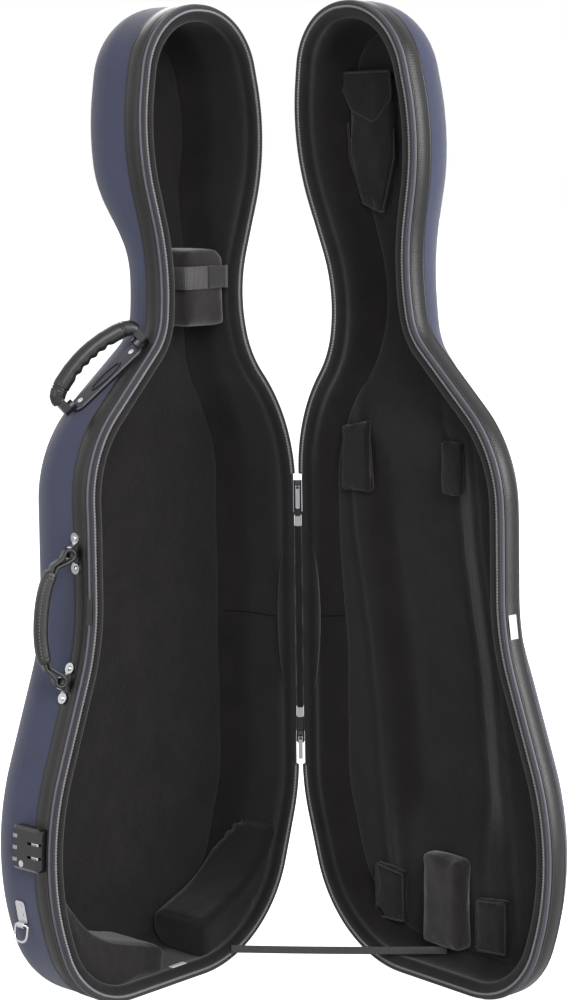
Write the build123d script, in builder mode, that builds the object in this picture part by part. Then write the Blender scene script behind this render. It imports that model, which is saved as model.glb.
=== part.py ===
"""A hard-sided cello case, standing open on its foot.

The base half lies along -X and opens towards -Y; the lid half is turned about the upright hinge on Z.
Every piece is drawn in its half's own directions: u across the case from the hinge, z up, and n
from the front of the lid to the back of the base. Depths are measured from the rim, into the half.
"""

from build123d import *
from math import cos, radians, sin, tan
import os

os.makedirs("parts", exist_ok=True)

# Driving dimensions (mm)
OPENING = 84.0          # how far the lid stands open
TOP = 1321.0            # crown of the zip line above the floor
FOOT = 7.0              # foot of the zip line above the floor: the shell stands on it
HINGE_INSET = 8.0       # zip line from the hinge axis along the straight side
LOWER_BOUT = 492.0      # corner of the outline at the lower bout
WAIST = 389.0           # corner at the waist
UPPER_BOUT = 387.0      # corner at the upper bout
NECK_FREE = 238.0       # corner below the neck, free side
NECK_HINGE = 102.0      # corner at the neck, hinge side
HEAD_FREE = 262.0       # corner at the head, free side
HEAD_HINGE = 29.0       # corner at the head, hinge side

# Depth of the two halves
BASE_DEPTH = 142.0
BASE_NECK_RISE = 25.0   # the base is shallower behind the neck
BASE_CORNER = 62.0      # round between the base's wall and back
LID_DEPTH = 80.0
LID_BOUT_RISE = 14.0    # the lid is flatter over the upper bout
LID_CORNER = 66.0
RIM_BEND = 660.0        # above this height the rim leans back towards the base
RIM_SLOPE = 0.0523
BEND_ROUND = 800.0

# Raised channel in the lid over the cello's bridge
DOME_DEPTH = 104.0
DOME_WIDTH = 210.0      # at the lower bout's depth
DOME_FOOT = 178.0
DOME_HEAD = 770.0
DOME_TAPER = 45.0
CENTRE_TILT = 5.9       # the case's centre line leans towards the hinge

# Layers of the wall, from the outside in
SHELL_OUT = 7.0         # shell outside the zip line
SHELL_WALL = 13.0
LAYER_GAP = 0.2
SKIN_GAP = 0.15         # trim off the shell it is sewn to
LINING = 3.0
FLOOR_PAD = 6.0
SHELL_RIM = 4.0         # depth where the shell starts, under the zip tape
LINING_RIM = 14.3

# Edge trim and zip
BAND_NEAR = 10.0
BAND_FAR = 36.0
BAND_PROUD = 0.8
PIPING_NEAR = 5.0
PIPING_FAR = 9.2
PIPING_PROUD = 1.0
TAPE_NEAR = 0.9
TEETH_NEAR = 0.3
TEETH_HALF = 1.4
ROLL_NEAR = 1.5
ROLL_FAR = 14.0
ROLL_OUT = -2.0
ROLL_IN = -16.0

# Hinge
HINGE_LOW = 346.0
HINGE_HIGH = 607.0
REBATE_LOW = 262.0
REBATE_HIGH = 682.0
REBATE = 7.0            # wall cut back beside the hinge, across and deep
KNUCKLE_R = 3.5
KNUCKLES = 9
KNUCKLE_GAP = 0.4
PIN_R = 1.7
PIN_CLEARANCE = 0.05
LEAF = 1.5
SPINE_R = 5.4
SPINE_WALL = 1.3
SPINE_HALF_ANGLE = 58.0
BLOCK_HEIGHT = 14.0
BLOCK_HALF = 4.6
BLOCK_FRONT = 5.6
BLOCK_BACK = 3.0
BAR_HEIGHT = 34.0
BAR_LOW_HEIGHT = 21.0
BAR_HALF = 3.9
SLIDER_HEIGHT = 17.0
SLIDER_HALF = 4.9
PULL_LENGTH = 34.0
PULL_WIDTH = 6.0
PULL_THICK = 1.6

SEAT_GAP = 0.3          # soft pieces and fittings stand this far off what carries them
REACH = 300.0
MARGIN = 60.0

OUTLINE = [
    # u, z, radius: foot, lower bout, waist, upper bout, neck, head, and back down the hinge side
    (LOWER_BOUT - 68, FOOT, 119),
    (LOWER_BOUT, 217, 358),
    (WAIST, 497, 320),
    (UPPER_BOUT, 743, 163),
    (NECK_FREE, 888, 81),
    (NECK_FREE - 12, 984, 350),
    (HEAD_FREE, TOP - 174, 330),
    (HEAD_FREE - 36, TOP + 4, 102),
    (HEAD_HINGE + 31, TOP - 3, 89),
    (HEAD_HINGE, TOP - 179, 308),
    (NECK_HINGE, 947, 203),
    (NECK_HINGE - 17, 853, 139),
    (HINGE_INSET, 758, 233),
    (HINGE_INSET, 232, 269),
    (HINGE_INSET + 67, FOOT, 171),
]

# Back of each half seen from the side: height, distance from the zip plane, radius
BASE_BACK = [
    (-MARGIN, BASE_DEPTH, 0),
    (770, BASE_DEPTH, 200),
    (880, BASE_DEPTH - BASE_NECK_RISE, 250),
    (1000, BASE_DEPTH - BASE_NECK_RISE + 5, 160),
    (1090, BASE_DEPTH + 21, 160),
    (TOP + 180, BASE_DEPTH + 41, 0),
]
LID_BACK = [
    (-MARGIN, -LID_DEPTH, 0),
    (430, -LID_DEPTH, 400),
    (600, LID_BOUT_RISE - LID_DEPTH, 400),
    (760, LID_BOUT_RISE - LID_DEPTH, 400),
    (900, -LID_DEPTH, 400),
    (1100, -LID_DEPTH, 400),
    (TOP + 180, 20 - LID_DEPTH, 0),
]


class Half:
    """The directions and sizes of one half of the case."""

    def __init__(self, turn, side, back, corner):
        across = (-cos(radians(turn)), -sin(radians(turn)), 0)
        behind = (-sin(radians(turn)), cos(radians(turn)), 0)
        self.plane = Plane(origin=(0, 0, 0), x_dir=across, z_dir=behind)
        self.cross = Plane(origin=(0, 0, 0), x_dir=(0, 0, 1), z_dir=across)
        self.side = side
        self.back = back
        self.corner = corner

    def at(self, u, z, n):
        return self.plane.from_local_coords((u, z, n))


BASE = Half(0, 1, BASE_BACK, BASE_CORNER)
LID = Half(OPENING, -1, LID_BACK, LID_CORNER)


def rim(z):
    """How far the rim has leant back at a height."""
    return RIM_SLOPE * max(0, z - RIM_BEND)


def outline(let_out):
    """The zip line, let out all round."""
    with BuildSketch(Plane.XY, mode=Mode.PRIVATE) as drawing:
        with BuildLine():
            FilletPolyline(*[(u, z) for u, z, r in OUTLINE], radius=[r for u, z, r in OUTLINE], close=True)
        make_face()
        offset(amount=let_out)
    return drawing.sketch


def side_face(near_line, far_line):
    """A face in height and n between two lines of (height, n, radius)."""
    corners = near_line + far_line[::-1]
    with BuildSketch(Plane.XY, mode=Mode.PRIVATE) as drawing:
        with BuildLine():
            FilletPolyline(*[(z, n) for z, n, r in corners], radius=[r for z, n, r in corners], close=True)
        make_face()
    return drawing.sketch


def rim_line(half, depth):
    """The rim seen from the side, a depth into the half."""
    high = TOP + 180
    shift = half.side * depth
    return [(-MARGIN, shift, 0), (RIM_BEND, shift, BEND_ROUND), (high, rim(high) + shift, 0)]


def back_line(half, skin):
    """The back seen from the side, a skin's thickness inside it."""
    return [(z, n - half.side * skin, r) for z, n, r in half.back]


def across(half, face, mode):
    """Extrudes a side face right across the case."""
    with BuildSketch(half.cross.offset(-MARGIN)) as drawing:
        add(face)
    extrude(drawing.sketch, amount=LOWER_BOUT + 3 * MARGIN, mode=mode)


def ring(half, outer, inner, near, far):
    """A ring along the rim, between two let-outs of the zip line and two depths."""
    with BuildPart(mode=Mode.PRIVATE) as body:
        with BuildSketch(half.plane.offset(-REACH)):
            add(outline(outer))
            add(outline(inner), mode=Mode.SUBTRACT)
        extrude(amount=2 * REACH)
        across(half, side_face(rim_line(half, near), rim_line(half, far)), Mode.INTERSECT)
    add(body.part)


def back_edges(half, body):
    """The edges between the wall and the back of a filled half."""
    chosen = []
    for edge in body.edges():
        middle = half.plane.to_local_coords(edge.position_at(0.5))
        along = half.plane.to_local_coords(half.plane.origin + edge.tangent_at(0.5))
        crosses_back = edge.geom_type == GeomType.LINE and abs(along.X) > 0.99 and middle.Y > MARGIN
        if middle.Z * half.side > 30 and abs(along.Z) < 0.95 and not crosses_back:
            chosen.append(edge)
    return chosen


def dome(skin):
    """The lid's raised channel, shrunk by a skin, along the case's centre line."""
    height = (DOME_FOOT + DOME_HEAD) / 2
    centre = 240 - (height - 217) * sin(radians(CENTRE_TILT))
    sunk = LID_BOUT_RISE + 24
    spread = 2 * (sunk - skin * tan(radians(90 - DOME_TAPER) / 2))
    with BuildPart(mode=Mode.PRIVATE) as body:
        with BuildSketch(LID.plane.offset(sunk + skin - LID_DEPTH)):
            with Locations(Location((centre, height, 0), (0, 0, 90 + CENTRE_TILT))):
                SlotOverall(DOME_HEAD - DOME_FOOT + spread, DOME_WIDTH + spread)
        extrude(amount=LID_DEPTH - DOME_DEPTH - sunk, taper=DOME_TAPER)
    return body.part


def form(half, skin):
    """One half as if it were solid, a skin's thickness inside its outer face and running past the rim."""
    with BuildPart(mode=Mode.PRIVATE) as body:
        with BuildSketch(half.plane.offset(-REACH)):
            add(outline(SHELL_OUT - skin))
        extrude(amount=2 * REACH)
        across(half, side_face(rim_line(half, -30), back_line(half, skin)), Mode.INTERSECT)
        fillet(back_edges(half, body), half.corner - skin)
        if half is LID:
            add(dome(skin))
    return body.part


def keep_depths(half, near, far=REACH):
    """Keeps what lies between two depths from the rim."""
    across(half, side_face(rim_line(half, near), rim_line(half, far)), Mode.INTERSECT)


def keep_floor(half, inner_skin, outer_skin):
    """Keeps what lies between two skins inside the back."""
    across(half, side_face(back_line(half, inner_skin), back_line(half, outer_skin)), Mode.INTERSECT)


def local_box(half, low, high, mode=Mode.ADD):
    """A box in a half's own directions, between two corners (u, z, n)."""
    with BuildSketch(half.plane.offset(low[2])) as drawing:
        with Locations(((low[0] + high[0]) / 2, (low[1] + high[1]) / 2)):
            Rectangle(high[0] - low[0], high[1] - low[1])
    extrude(drawing.sketch, amount=high[2] - low[2], mode=mode)


def cut_foot(half):
    """Clears what would stand below the shell's foot."""
    floor = FOOT - SHELL_OUT
    local_box(half, (-MARGIN, floor - MARGIN, -REACH), (LOWER_BOUT + MARGIN, floor, REACH), Mode.SUBTRACT)


def cut_rebate(half, depth):
    """Clears the straight side beside the hinge."""
    low_n, high_n = sorted((-half.side * MARGIN, half.side * depth))
    local_box(half, (-MARGIN, REBATE_LOW, low_n), (REBATE, REBATE_HIGH, high_n), Mode.SUBTRACT)


def free_wall(half, height, depth, let_out):
    """A plane on the free side's wall: x up along the wall, y towards the back of the base, z outwards."""
    for edge in outline(let_out).edges():
        start, end = edge.position_at(0), edge.position_at(1)
        if max(start.X, end.X) > UPPER_BOUT / 2 and min(start.Y, end.Y) <= height <= max(start.Y, end.Y):
            break
    low, high = (0.0, 1.0) if start.Y < end.Y else (1.0, 0.0)
    for _ in range(40):
        middle = (low + high) / 2
        if edge.position_at(middle).Y < height:
            low = middle
        else:
            high = middle
    spot = edge.position_at(middle)
    along = edge.tangent_at(middle)
    along = along if along.Y > 0 else -along
    up = half.plane.from_local_coords((along.X, along.Y, 0)) - half.plane.origin
    out = half.plane.from_local_coords((along.Y, -along.X, 0)) - half.plane.origin
    return Plane(origin=half.at(spot.X, height, rim(height) + half.side * depth), x_dir=up, z_dir=out)


def turned(plane, direction, angle):
    """A plane turned in place about a direction through its origin."""
    about = Axis((0, 0, 0), direction)
    return Plane(origin=plane.origin, x_dir=plane.x_dir.rotate(about, angle), z_dir=plane.z_dir.rotate(about, angle))


def finish(name, body):
    body.part.label = name
    export_step(body.part, "parts/" + name + ".step")


# Shells, linings and floors of the two halves
for prefix, half in (("base", BASE), ("lid", LID)):
    with BuildPart() as shell:
        add(form(half, 0))
        add(form(half, SHELL_WALL), mode=Mode.SUBTRACT)
        keep_depths(half, SHELL_RIM)
        cut_rebate(half, REBATE)
    finish(prefix + "_shell", shell)

    with BuildPart() as lining:
        add(form(half, SHELL_WALL + LAYER_GAP))
        add(form(half, SHELL_WALL + LINING), mode=Mode.SUBTRACT)
        keep_depths(half, LINING_RIM)
    finish(prefix + "_lining", lining)

    with BuildPart() as floor:
        add(form(half, SHELL_WALL + LINING + LAYER_GAP))
        if half is LID:
            add(dome(SHELL_WALL + LINING + LAYER_GAP + FLOOR_PAD), mode=Mode.SUBTRACT)
            floor_skin = SHELL_WALL + LINING + FLOOR_PAD
            across(half, side_face(rim_line(half, -30), back_line(half, floor_skin)), Mode.SUBTRACT)
        else:
            keep_floor(half, SHELL_WALL + LINING + FLOOR_PAD, SHELL_WALL)
    finish(prefix + "_floor", floor)

    with BuildPart() as band:
        ring(half, SHELL_OUT + BAND_PROUD, SHELL_OUT + SKIN_GAP, BAND_NEAR, BAND_FAR)
        cut_foot(half)
    finish(prefix + "_trim_band", band)

    with BuildPart() as piping:
        ring(half, SHELL_OUT + PIPING_PROUD, SHELL_OUT + SKIN_GAP, PIPING_NEAR, PIPING_FAR)
        cut_rebate(half, PIPING_FAR + 1)
        cut_foot(half)
    finish(prefix + "_piping", piping)

    with BuildPart() as tape:
        ring(half, SHELL_OUT - 1, TEETH_HALF + LAYER_GAP, TAPE_NEAR, SHELL_RIM - SKIN_GAP)
        cut_rebate(half, REBATE)
    finish(prefix + "_zip_tape", tape)

    with BuildPart() as teeth:
        ring(half, TEETH_HALF, -TEETH_HALF, TEETH_NEAR, SHELL_RIM - SKIN_GAP)
        local_box(half, (-MARGIN, REBATE_LOW, -MARGIN), (2 * REBATE, REBATE_HIGH, MARGIN), Mode.SUBTRACT)
    finish(prefix + "_zip_teeth", teeth)

    with BuildPart() as roll:
        ring(half, ROLL_OUT, ROLL_IN, ROLL_NEAR, ROLL_FAR)
        add(form(half, SHELL_WALL + LAYER_GAP), mode=Mode.INTERSECT)
        ring(half, ROLL_OUT, (ROLL_OUT + ROLL_IN) / 2, ROLL_NEAR, SHELL_RIM - LAYER_GAP)
    finish(prefix + "_rim_roll", roll)


def wall_block(half, corners, radii, near, far_skin):
    """A padded block: an outline of (u, z) corners, from a depth to the floor, shaped to the walls."""
    with BuildSketch(half.plane.offset(half.side * near)) as drawing:
        with BuildLine():
            FilletPolyline(*corners, radius=radii, close=True)
        make_face()
    extrude(drawing.sketch, amount=half.side * (BASE_DEPTH - far_skin - near))
    add(form(half, SHELL_WALL + LINING + 2 * LAYER_GAP), mode=Mode.INTERSECT)


# Padded blocks in the base: two beside the foot, one behind the neck
FLOOR_SKIN = SHELL_WALL + LINING + FLOOR_PAD
BLOCK_DEPTH = 15.0      # front of the corner blocks behind the rim
with BuildPart() as block:
    wall_block(BASE, [(-20, 200), (16, 206), (86, 104), (189, 62), (196, -20), (-20, -20)],
               [0, 0, 190, 6, 0, 0], BLOCK_DEPTH, FLOOR_SKIN + SEAT_GAP)
finish("corner_block_hinge_side", block)

with BuildPart() as block:
    wall_block(BASE, [(500, 186), (450, 172), (389, 90), (263, 52), (268, -20), (500, -20)],
               [0, 0, 150, 9, 0, 0], BLOCK_DEPTH, FLOOR_SKIN + SEAT_GAP)
finish("corner_block_free_side", block)

NECK_LOW = 897.0
NECK_HIGH = 1003.0
NECK_LEFT = 188.0
NECK_FRONT = 26.0       # front of the neck rest from the zip plane
NECK_RIGHT = 112.0
with BuildPart() as block:
    with BuildSketch(BASE.plane.offset(NECK_FRONT)):
        with BuildLine():
            FilletPolyline((NECK_LEFT, NECK_LOW), (NECK_LEFT, NECK_HIGH), (NECK_RIGHT, NECK_HIGH),
                           (NECK_RIGHT, NECK_LOW), radius=[5, 5, 22, 7], close=True)
        make_face()
    extrude(amount=BASE_DEPTH)
    add(form(BASE, FLOOR_SKIN + SEAT_GAP), mode=Mode.INTERSECT)
finish("neck_rest", block)

# Neck strap: a webbing tongue across the rest, and the hook-and-loop tab that closes on it
STRAP_LOW = 948.0
STRAP_HIGH = 980.0
WEB = 1.8
TAB_START = 149.0
STRAP_FRONT = NECK_FRONT - SEAT_GAP - WEB
with BuildPart() as strap:
    local_box(BASE, (TAB_START - 16, STRAP_LOW, STRAP_FRONT), (NECK_LEFT + 2.4, STRAP_HIGH, STRAP_FRONT + WEB))
    local_box(BASE, (NECK_LEFT + SEAT_GAP, STRAP_LOW, STRAP_FRONT),
              (NECK_LEFT + SEAT_GAP + WEB, STRAP_HIGH, NECK_FRONT + 40))
finish("neck_strap", strap)

TAB_EDGE = NECK_RIGHT
TAB_FRONT = STRAP_FRONT - SEAT_GAP - WEB
with BuildPart() as tab:
    local_box(BASE, (TAB_EDGE, STRAP_LOW, TAB_FRONT), (TAB_START, STRAP_HIGH, TAB_FRONT + WEB))
finish("neck_strap_tab", tab)

# Sewn labels, all blank
with BuildPart() as label:
    local_box(BASE, (234, FOOT - ROLL_IN + SEAT_GAP, 4), (261, FOOT - ROLL_IN + SEAT_GAP + 1, 12))
finish("base_label", label)

WAIST_SAG = 0.6         # flat pieces on the hollow of the waist stand off by this much more
TAG_WALL = free_wall(BASE, 540, 5, SHELL_OUT + PIPING_PROUD + SEAT_GAP + WAIST_SAG)
with BuildPart() as tag:
    with BuildSketch(TAG_WALL):
        Rectangle(34, 8)
    extrude(amount=0.8)
finish("woven_tag", tag)

LABEL_WALL = free_wall(LID, 513, 20, SHELL_OUT + BAND_PROUD + SEAT_GAP + WAIST_SAG)
with BuildPart() as label:
    with BuildSketch(LABEL_WALL):
        Rectangle(32, 14)
    extrude(amount=0.6)
finish("lid_label", label)

# Moulded carrying handle on the shoulder
HANDLE_TILT = -20.4     # the plate runs from deep on the wall to the trim
HANDLE_WALL = free_wall(BASE, 836, 53, SHELL_OUT + BAND_PROUD + SEAT_GAP)
PLATE = turned(HANDLE_WALL, HANDLE_WALL.z_dir, HANDLE_TILT)
PLATE_LENGTH = 127.0
PLATE_WIDTH = 27.0
PLATE_THICK = 4.5
SCREW_REACH = 47.0
SCREW_R = 4.2
EAR_REACH = 60.0
EAR_THICK = 7.0
EAR_HALF = 7.0
PIVOT_HEIGHT = 9.0
PIVOT_R = 2.5
with BuildPart() as plate:
    with BuildSketch(PLATE):
        SlotOverall(PLATE_LENGTH, PLATE_WIDTH)
    extrude(amount=PLATE_THICK)
    chamfer(plate.faces().sort_by(lambda f: PLATE.to_local_coords(f.center()).Z)[-1].edges(), 1.6)
    with BuildSketch(PLATE.offset(PLATE_THICK)):
        Ellipse(27, 7.5)
        Ellipse(24.5, 5.2, mode=Mode.SUBTRACT)
    extrude(amount=1.1)
    with BuildSketch(PLATE.offset(PLATE_THICK)):
        with Locations((-SCREW_REACH, 0), (SCREW_REACH, 0)):
            Circle(SCREW_R + 0.6)
    extrude(amount=-2.2, mode=Mode.SUBTRACT)
    for end in (-1, 1):
        ear_plane = Plane(origin=PLATE.from_local_coords((end * EAR_REACH - EAR_THICK / 2, 0, 0)),
                          x_dir=PLATE.y_dir, z_dir=PLATE.x_dir)
        with BuildSketch(ear_plane):
            with Locations((0, PIVOT_HEIGHT / 2 + 0.5)):
                Rectangle(2 * EAR_HALF, PIVOT_HEIGHT - 1)
            with Locations((0, PIVOT_HEIGHT)):
                Circle(EAR_HALF)
        extrude(amount=EAR_THICK)
        with BuildSketch(ear_plane):
            with Locations((0, PIVOT_HEIGHT)):
                Circle(PIVOT_R + PIN_CLEARANCE)
        extrude(amount=EAR_THICK, mode=Mode.SUBTRACT)
finish("handle_plate", plate)

with BuildPart() as screws:
    for end in (-1, 1):
        with BuildSketch(PLATE.offset(PLATE_THICK - 2.2)):
            with Locations((end * SCREW_REACH, 0)):
                Circle(SCREW_R)
        extrude(amount=2.6)
        with BuildSketch(PLATE.offset(PLATE_THICK + 0.4)):
            with Locations((end * SCREW_REACH, 0)):
                Rectangle(5, 1)
                Rectangle(1, 5)
        extrude(amount=-1.4, mode=Mode.SUBTRACT)
finish("handle_screws", screws)

CAP_START = EAR_REACH + EAR_THICK / 2 + SEAT_GAP
CAP_THICK = 11.0
with BuildPart() as pins:
    for end in (-1, 1):
        pin_plane = Plane(origin=PLATE.from_local_coords((end * (EAR_REACH - EAR_THICK / 2), 0, PIVOT_HEIGHT)),
                          x_dir=PLATE.y_dir, z_dir=end * PLATE.x_dir)
        with BuildSketch(pin_plane):
            Circle(PIVOT_R)
        extrude(amount=EAR_THICK + CAP_THICK - 3)
finish("handle_pins", pins)

# The grip stands in a plane through the pivots, leant towards the back
GRIP_LEAN = -20.0
GRIP = turned(PLATE.offset(PIVOT_HEIGHT), PLATE.x_dir, GRIP_LEAN)
GRIP_SIDE = Plane(origin=GRIP.origin, x_dir=GRIP.x_dir, z_dir=-GRIP.y_dir)
GRIP_R = 12.0
CAP_R = 7.2
GRIP_FOOT = 17.0
CAP_MIDDLE = CAP_START + CAP_THICK / 2
with BuildPart() as grip:
    with BuildLine(GRIP_SIDE) as path:
        FilletPolyline((-CAP_MIDDLE, GRIP_FOOT - 4), (-62, 22), (0, 38), (62, 22), (CAP_MIDDLE, GRIP_FOOT - 4),
                       radius=[14, 100, 14])
    with BuildSketch(Plane(origin=path.line @ 0, z_dir=path.line % 0)):
        Circle(GRIP_R)
    sweep()
    for end in (-1, 1):
        local = Plane(origin=GRIP.from_local_coords((end * CAP_START, 0, 0)), x_dir=GRIP.y_dir,
                      z_dir=end * GRIP.x_dir)
        with BuildSketch(local.offset(-30)):
            with Locations((0, (GRIP_FOOT - 30) / 2 - 1)):
                Rectangle(60, GRIP_FOOT + 30 - 2)
        extrude(amount=80, mode=Mode.SUBTRACT)
finish("handle_grip", grip)

with BuildPart() as caps:
    for end in (-1, 1):
        local = Plane(origin=GRIP.from_local_coords((end * CAP_START, 0, 0)), x_dir=GRIP.y_dir * end,
                      z_dir=end * GRIP.x_dir)
        with BuildSketch(local):
            Circle(CAP_R)
            with Locations((0, (GRIP_FOOT - 2.2) / 2)):
                Rectangle(2 * CAP_R, GRIP_FOOT - 2.2)
        extrude(amount=CAP_THICK)
        with BuildSketch(local):
            Circle(PIVOT_R + PIN_CLEARANCE)
        extrude(amount=CAP_THICK - 3 + PIN_CLEARANCE, mode=Mode.SUBTRACT)
finish("handle_caps", caps)

# Leather side handle: it swings on two riveted staples at the waist
STAPLE_SPOTS = [(445.0, 1.3), (615.0, 0.0)]  # height, and the stand-off over the hollow of the waist
STAPLE_DEPTH = 31.0
STAPLE_FOOT = 20.0      # rivets from the staple's middle
STAPLE_RISE = 12.5
STAPLE_THICK = 2.2
STAPLE_WIDTH = 7.0
DISC_R = 7.5
DISC_THICK = 1.8
RIVET_R = 3.6
RIVET_HIGH = 2.2
STAPLES = []
for height, sag in STAPLE_SPOTS:
    STAPLES.append(free_wall(BASE, height, STAPLE_DEPTH, SHELL_OUT + BAND_PROUD + SEAT_GAP + sag))
with BuildPart() as staples:
    for place in STAPLES:
        with BuildSketch(place):
            with Locations((-STAPLE_FOOT, 0), (STAPLE_FOOT, 0)):
                Circle(DISC_R)
        extrude(amount=DISC_THICK)
        with BuildSketch(Plane(origin=place.from_local_coords((0, -STAPLE_WIDTH / 2, 0)),
                               x_dir=place.x_dir, z_dir=-place.y_dir)) as profile:
            with BuildLine():
                FilletPolyline((-STAPLE_FOOT, 0.9), (-13, 0.9), (-8, STAPLE_RISE), (8, STAPLE_RISE), (13, 0.9),
                               (STAPLE_FOOT, 0.9), radius=[4, 6, 6, 4])
            trace(line_width=STAPLE_THICK - 0.4)
        extrude(amount=-STAPLE_WIDTH)
finish("side_staples", staples)

with BuildPart() as rivets:
    for place in STAPLES:
        for end in (-1, 1):
            with BuildPart(mode=Mode.PRIVATE) as rivet:
                with BuildSketch(place.offset(DISC_THICK + LAYER_GAP)):
                    with Locations((end * STAPLE_FOOT, 0)):
                        Circle(RIVET_R)
                extrude(amount=RIVET_HIGH)
                fillet(rivet.faces().sort_by(Axis(place.origin, place.z_dir))[-1].edges(), RIVET_HIGH * 0.8)
            add(rivet.part)
finish("side_rivets", rivets)

SLEEVE_R = 8.6
SLEEVE_BORE = 4.9
SLEEVE_LENGTH = 11.0
HANDLE_LEAN = -25.0
lower_eye, upper_eye = [place.from_local_coords((0, 0, STAPLE_RISE)) for place in STAPLES]
SPAN = (upper_eye - lower_eye).length
SIDE = Plane(origin=(lower_eye + upper_eye) * 0.5, x_dir=upper_eye - lower_eye,
             z_dir=(upper_eye - lower_eye).cross(Vector(0, 1, 0)))
SIDE = turned(SIDE, SIDE.x_dir, HANDLE_LEAN)
SIDE_PROFILE = Plane(origin=SIDE.origin, x_dir=SIDE.x_dir, z_dir=-SIDE.y_dir)
SIDE_RISE = 26.0
SIDE_THICK = 8.0
STRAP_HALF = 9.0
PAD_HALF = 50.0
PAD_WIDTH = 22.0
PAD_THICK = 13.0
PAD_ROUND = 5.0
with BuildPart() as strap:
    with BuildSketch(SIDE_PROFILE.offset(-STRAP_HALF)):
        with BuildLine():
            FilletPolyline((-SPAN / 2, SLEEVE_R - SIDE_THICK / 2), (-SPAN / 2 + 14, SLEEVE_R - SIDE_THICK / 2),
                           (-PAD_HALF, SIDE_RISE), (PAD_HALF, SIDE_RISE),
                           (SPAN / 2 - 14, SLEEVE_R - SIDE_THICK / 2), (SPAN / 2, SLEEVE_R - SIDE_THICK / 2),
                           radius=[20, 24, 24, 20])
        trace(line_width=SIDE_THICK)
    extrude(amount=2 * STRAP_HALF)
    for end in (-1, 1):
        eye = Plane(origin=SIDE.from_local_coords((end * SPAN / 2, 0, 0)), x_dir=SIDE.y_dir, z_dir=SIDE.x_dir)
        with BuildSketch(eye.offset(-SLEEVE_LENGTH / 2)):
            Circle(SLEEVE_R)
        extrude(amount=SLEEVE_LENGTH)
        with BuildSketch(eye.offset(-SLEEVE_LENGTH)):
            Circle(SLEEVE_BORE)
        extrude(amount=2 * SLEEVE_LENGTH, mode=Mode.SUBTRACT)
    with BuildSketch(Plane(origin=SIDE.from_local_coords((-PAD_HALF, 0, SIDE_RISE)), x_dir=SIDE.y_dir,
                           z_dir=SIDE.x_dir)):
        RectangleRounded(PAD_WIDTH + 2 * SEAT_GAP, PAD_THICK + 2 * SEAT_GAP, PAD_ROUND + SEAT_GAP)
    extrude(amount=2 * PAD_HALF, mode=Mode.SUBTRACT)
finish("side_strap", strap)

with BuildPart() as pad:
    with BuildSketch(Plane(origin=SIDE.from_local_coords((-PAD_HALF, 0, SIDE_RISE)), x_dir=SIDE.y_dir,
                           z_dir=SIDE.x_dir)):
        RectangleRounded(PAD_WIDTH, PAD_THICK, PAD_ROUND)
    extrude(amount=2 * PAD_HALF)
finish("side_grip", pad)

# Combination lock on the trim
LOCK_HEIGHT = 235.0
LOCK_DEPTH = 38.0
LOCK_LENGTH = 58.0
LOCK_WIDTH = 52.0
LOCK_THICK = 14.0
LOCK_CHAMFER = 4.0
NOTCH = 3.4
NOTCH_AT = 9.0
DIAL_PITCH = 15.6
DIAL_R = 7.6
DIAL_WIDTH = 5.0
DIAL_GAP = 0.4
DIAL_Y = LOCK_WIDTH / 2 - 6.8
DIAL_Z = LOCK_THICK - 6.6
AXLE_R = 1.5
CYLINDER_R = 4.4
CYLINDER_AT = (-LOCK_LENGTH / 2 + 9, LOCK_WIDTH / 2 - 20)
LOCK = free_wall(BASE, LOCK_HEIGHT, LOCK_DEPTH, SHELL_OUT + BAND_PROUD + SEAT_GAP)
DIAL_PLANE = Plane(origin=LOCK.from_local_coords((0, DIAL_Y, DIAL_Z)), x_dir=LOCK.y_dir, z_dir=LOCK.x_dir)
with BuildPart() as lock:
    with BuildSketch(LOCK):
        RectangleRounded(LOCK_LENGTH, LOCK_WIDTH, 5)
    extrude(amount=LOCK_THICK)
    chamfer(lock.faces().sort_by(lambda f: LOCK.to_local_coords(f.center()).Z)[-1].edges(), LOCK_CHAMFER)
    for place in (-NOTCH_AT, NOTCH_AT):
        with BuildSketch(LOCK.offset(LOCK_THICK)):
            with Locations((place, -LOCK_WIDTH / 2 + 8)):
                Rectangle(NOTCH, 26)
        extrude(amount=-8, mode=Mode.SUBTRACT)
    for turn in (-1, 0, 1):
        with BuildSketch(DIAL_PLANE.offset(turn * DIAL_PITCH - DIAL_WIDTH / 2 - DIAL_GAP)):
            Circle(DIAL_R + DIAL_GAP)
        extrude(amount=DIAL_WIDTH + 2 * DIAL_GAP, mode=Mode.SUBTRACT)
    with BuildSketch(DIAL_PLANE.offset(-DIAL_PITCH - DIAL_WIDTH)):
        Circle(AXLE_R)
    extrude(amount=2 * DIAL_PITCH + 2 * DIAL_WIDTH)
    with BuildSketch(LOCK.offset(LOCK_THICK)):
        with Locations(CYLINDER_AT):
            Circle(CYLINDER_R + PIN_CLEARANCE)
    extrude(amount=-8, mode=Mode.SUBTRACT)
finish("lock_body", lock)

for number, turn in enumerate((-1, 0, 1)):
    with BuildPart() as dial:
        with BuildSketch(DIAL_PLANE.offset(turn * DIAL_PITCH - DIAL_WIDTH / 2)):
            Circle(DIAL_R)
            Circle(AXLE_R + PIN_CLEARANCE, mode=Mode.SUBTRACT)
            with PolarLocations(DIAL_R + 0.35, 20):
                Circle(0.7, mode=Mode.SUBTRACT)
        extrude(amount=DIAL_WIDTH)
    finish("lock_dial_" + str(number + 1), dial)

with BuildPart() as bars:
    for place in (-NOTCH_AT, NOTCH_AT):
        with BuildSketch(Plane(origin=LOCK.from_local_coords((place - NOTCH / 2, -LOCK_WIDTH / 2 + 11, LOCK_THICK - 5)),
                               x_dir=LOCK.y_dir, z_dir=LOCK.x_dir)):
            RectangleRounded(13, 4, 1.2)
        extrude(amount=NOTCH)
finish("lock_bars", bars)

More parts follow.
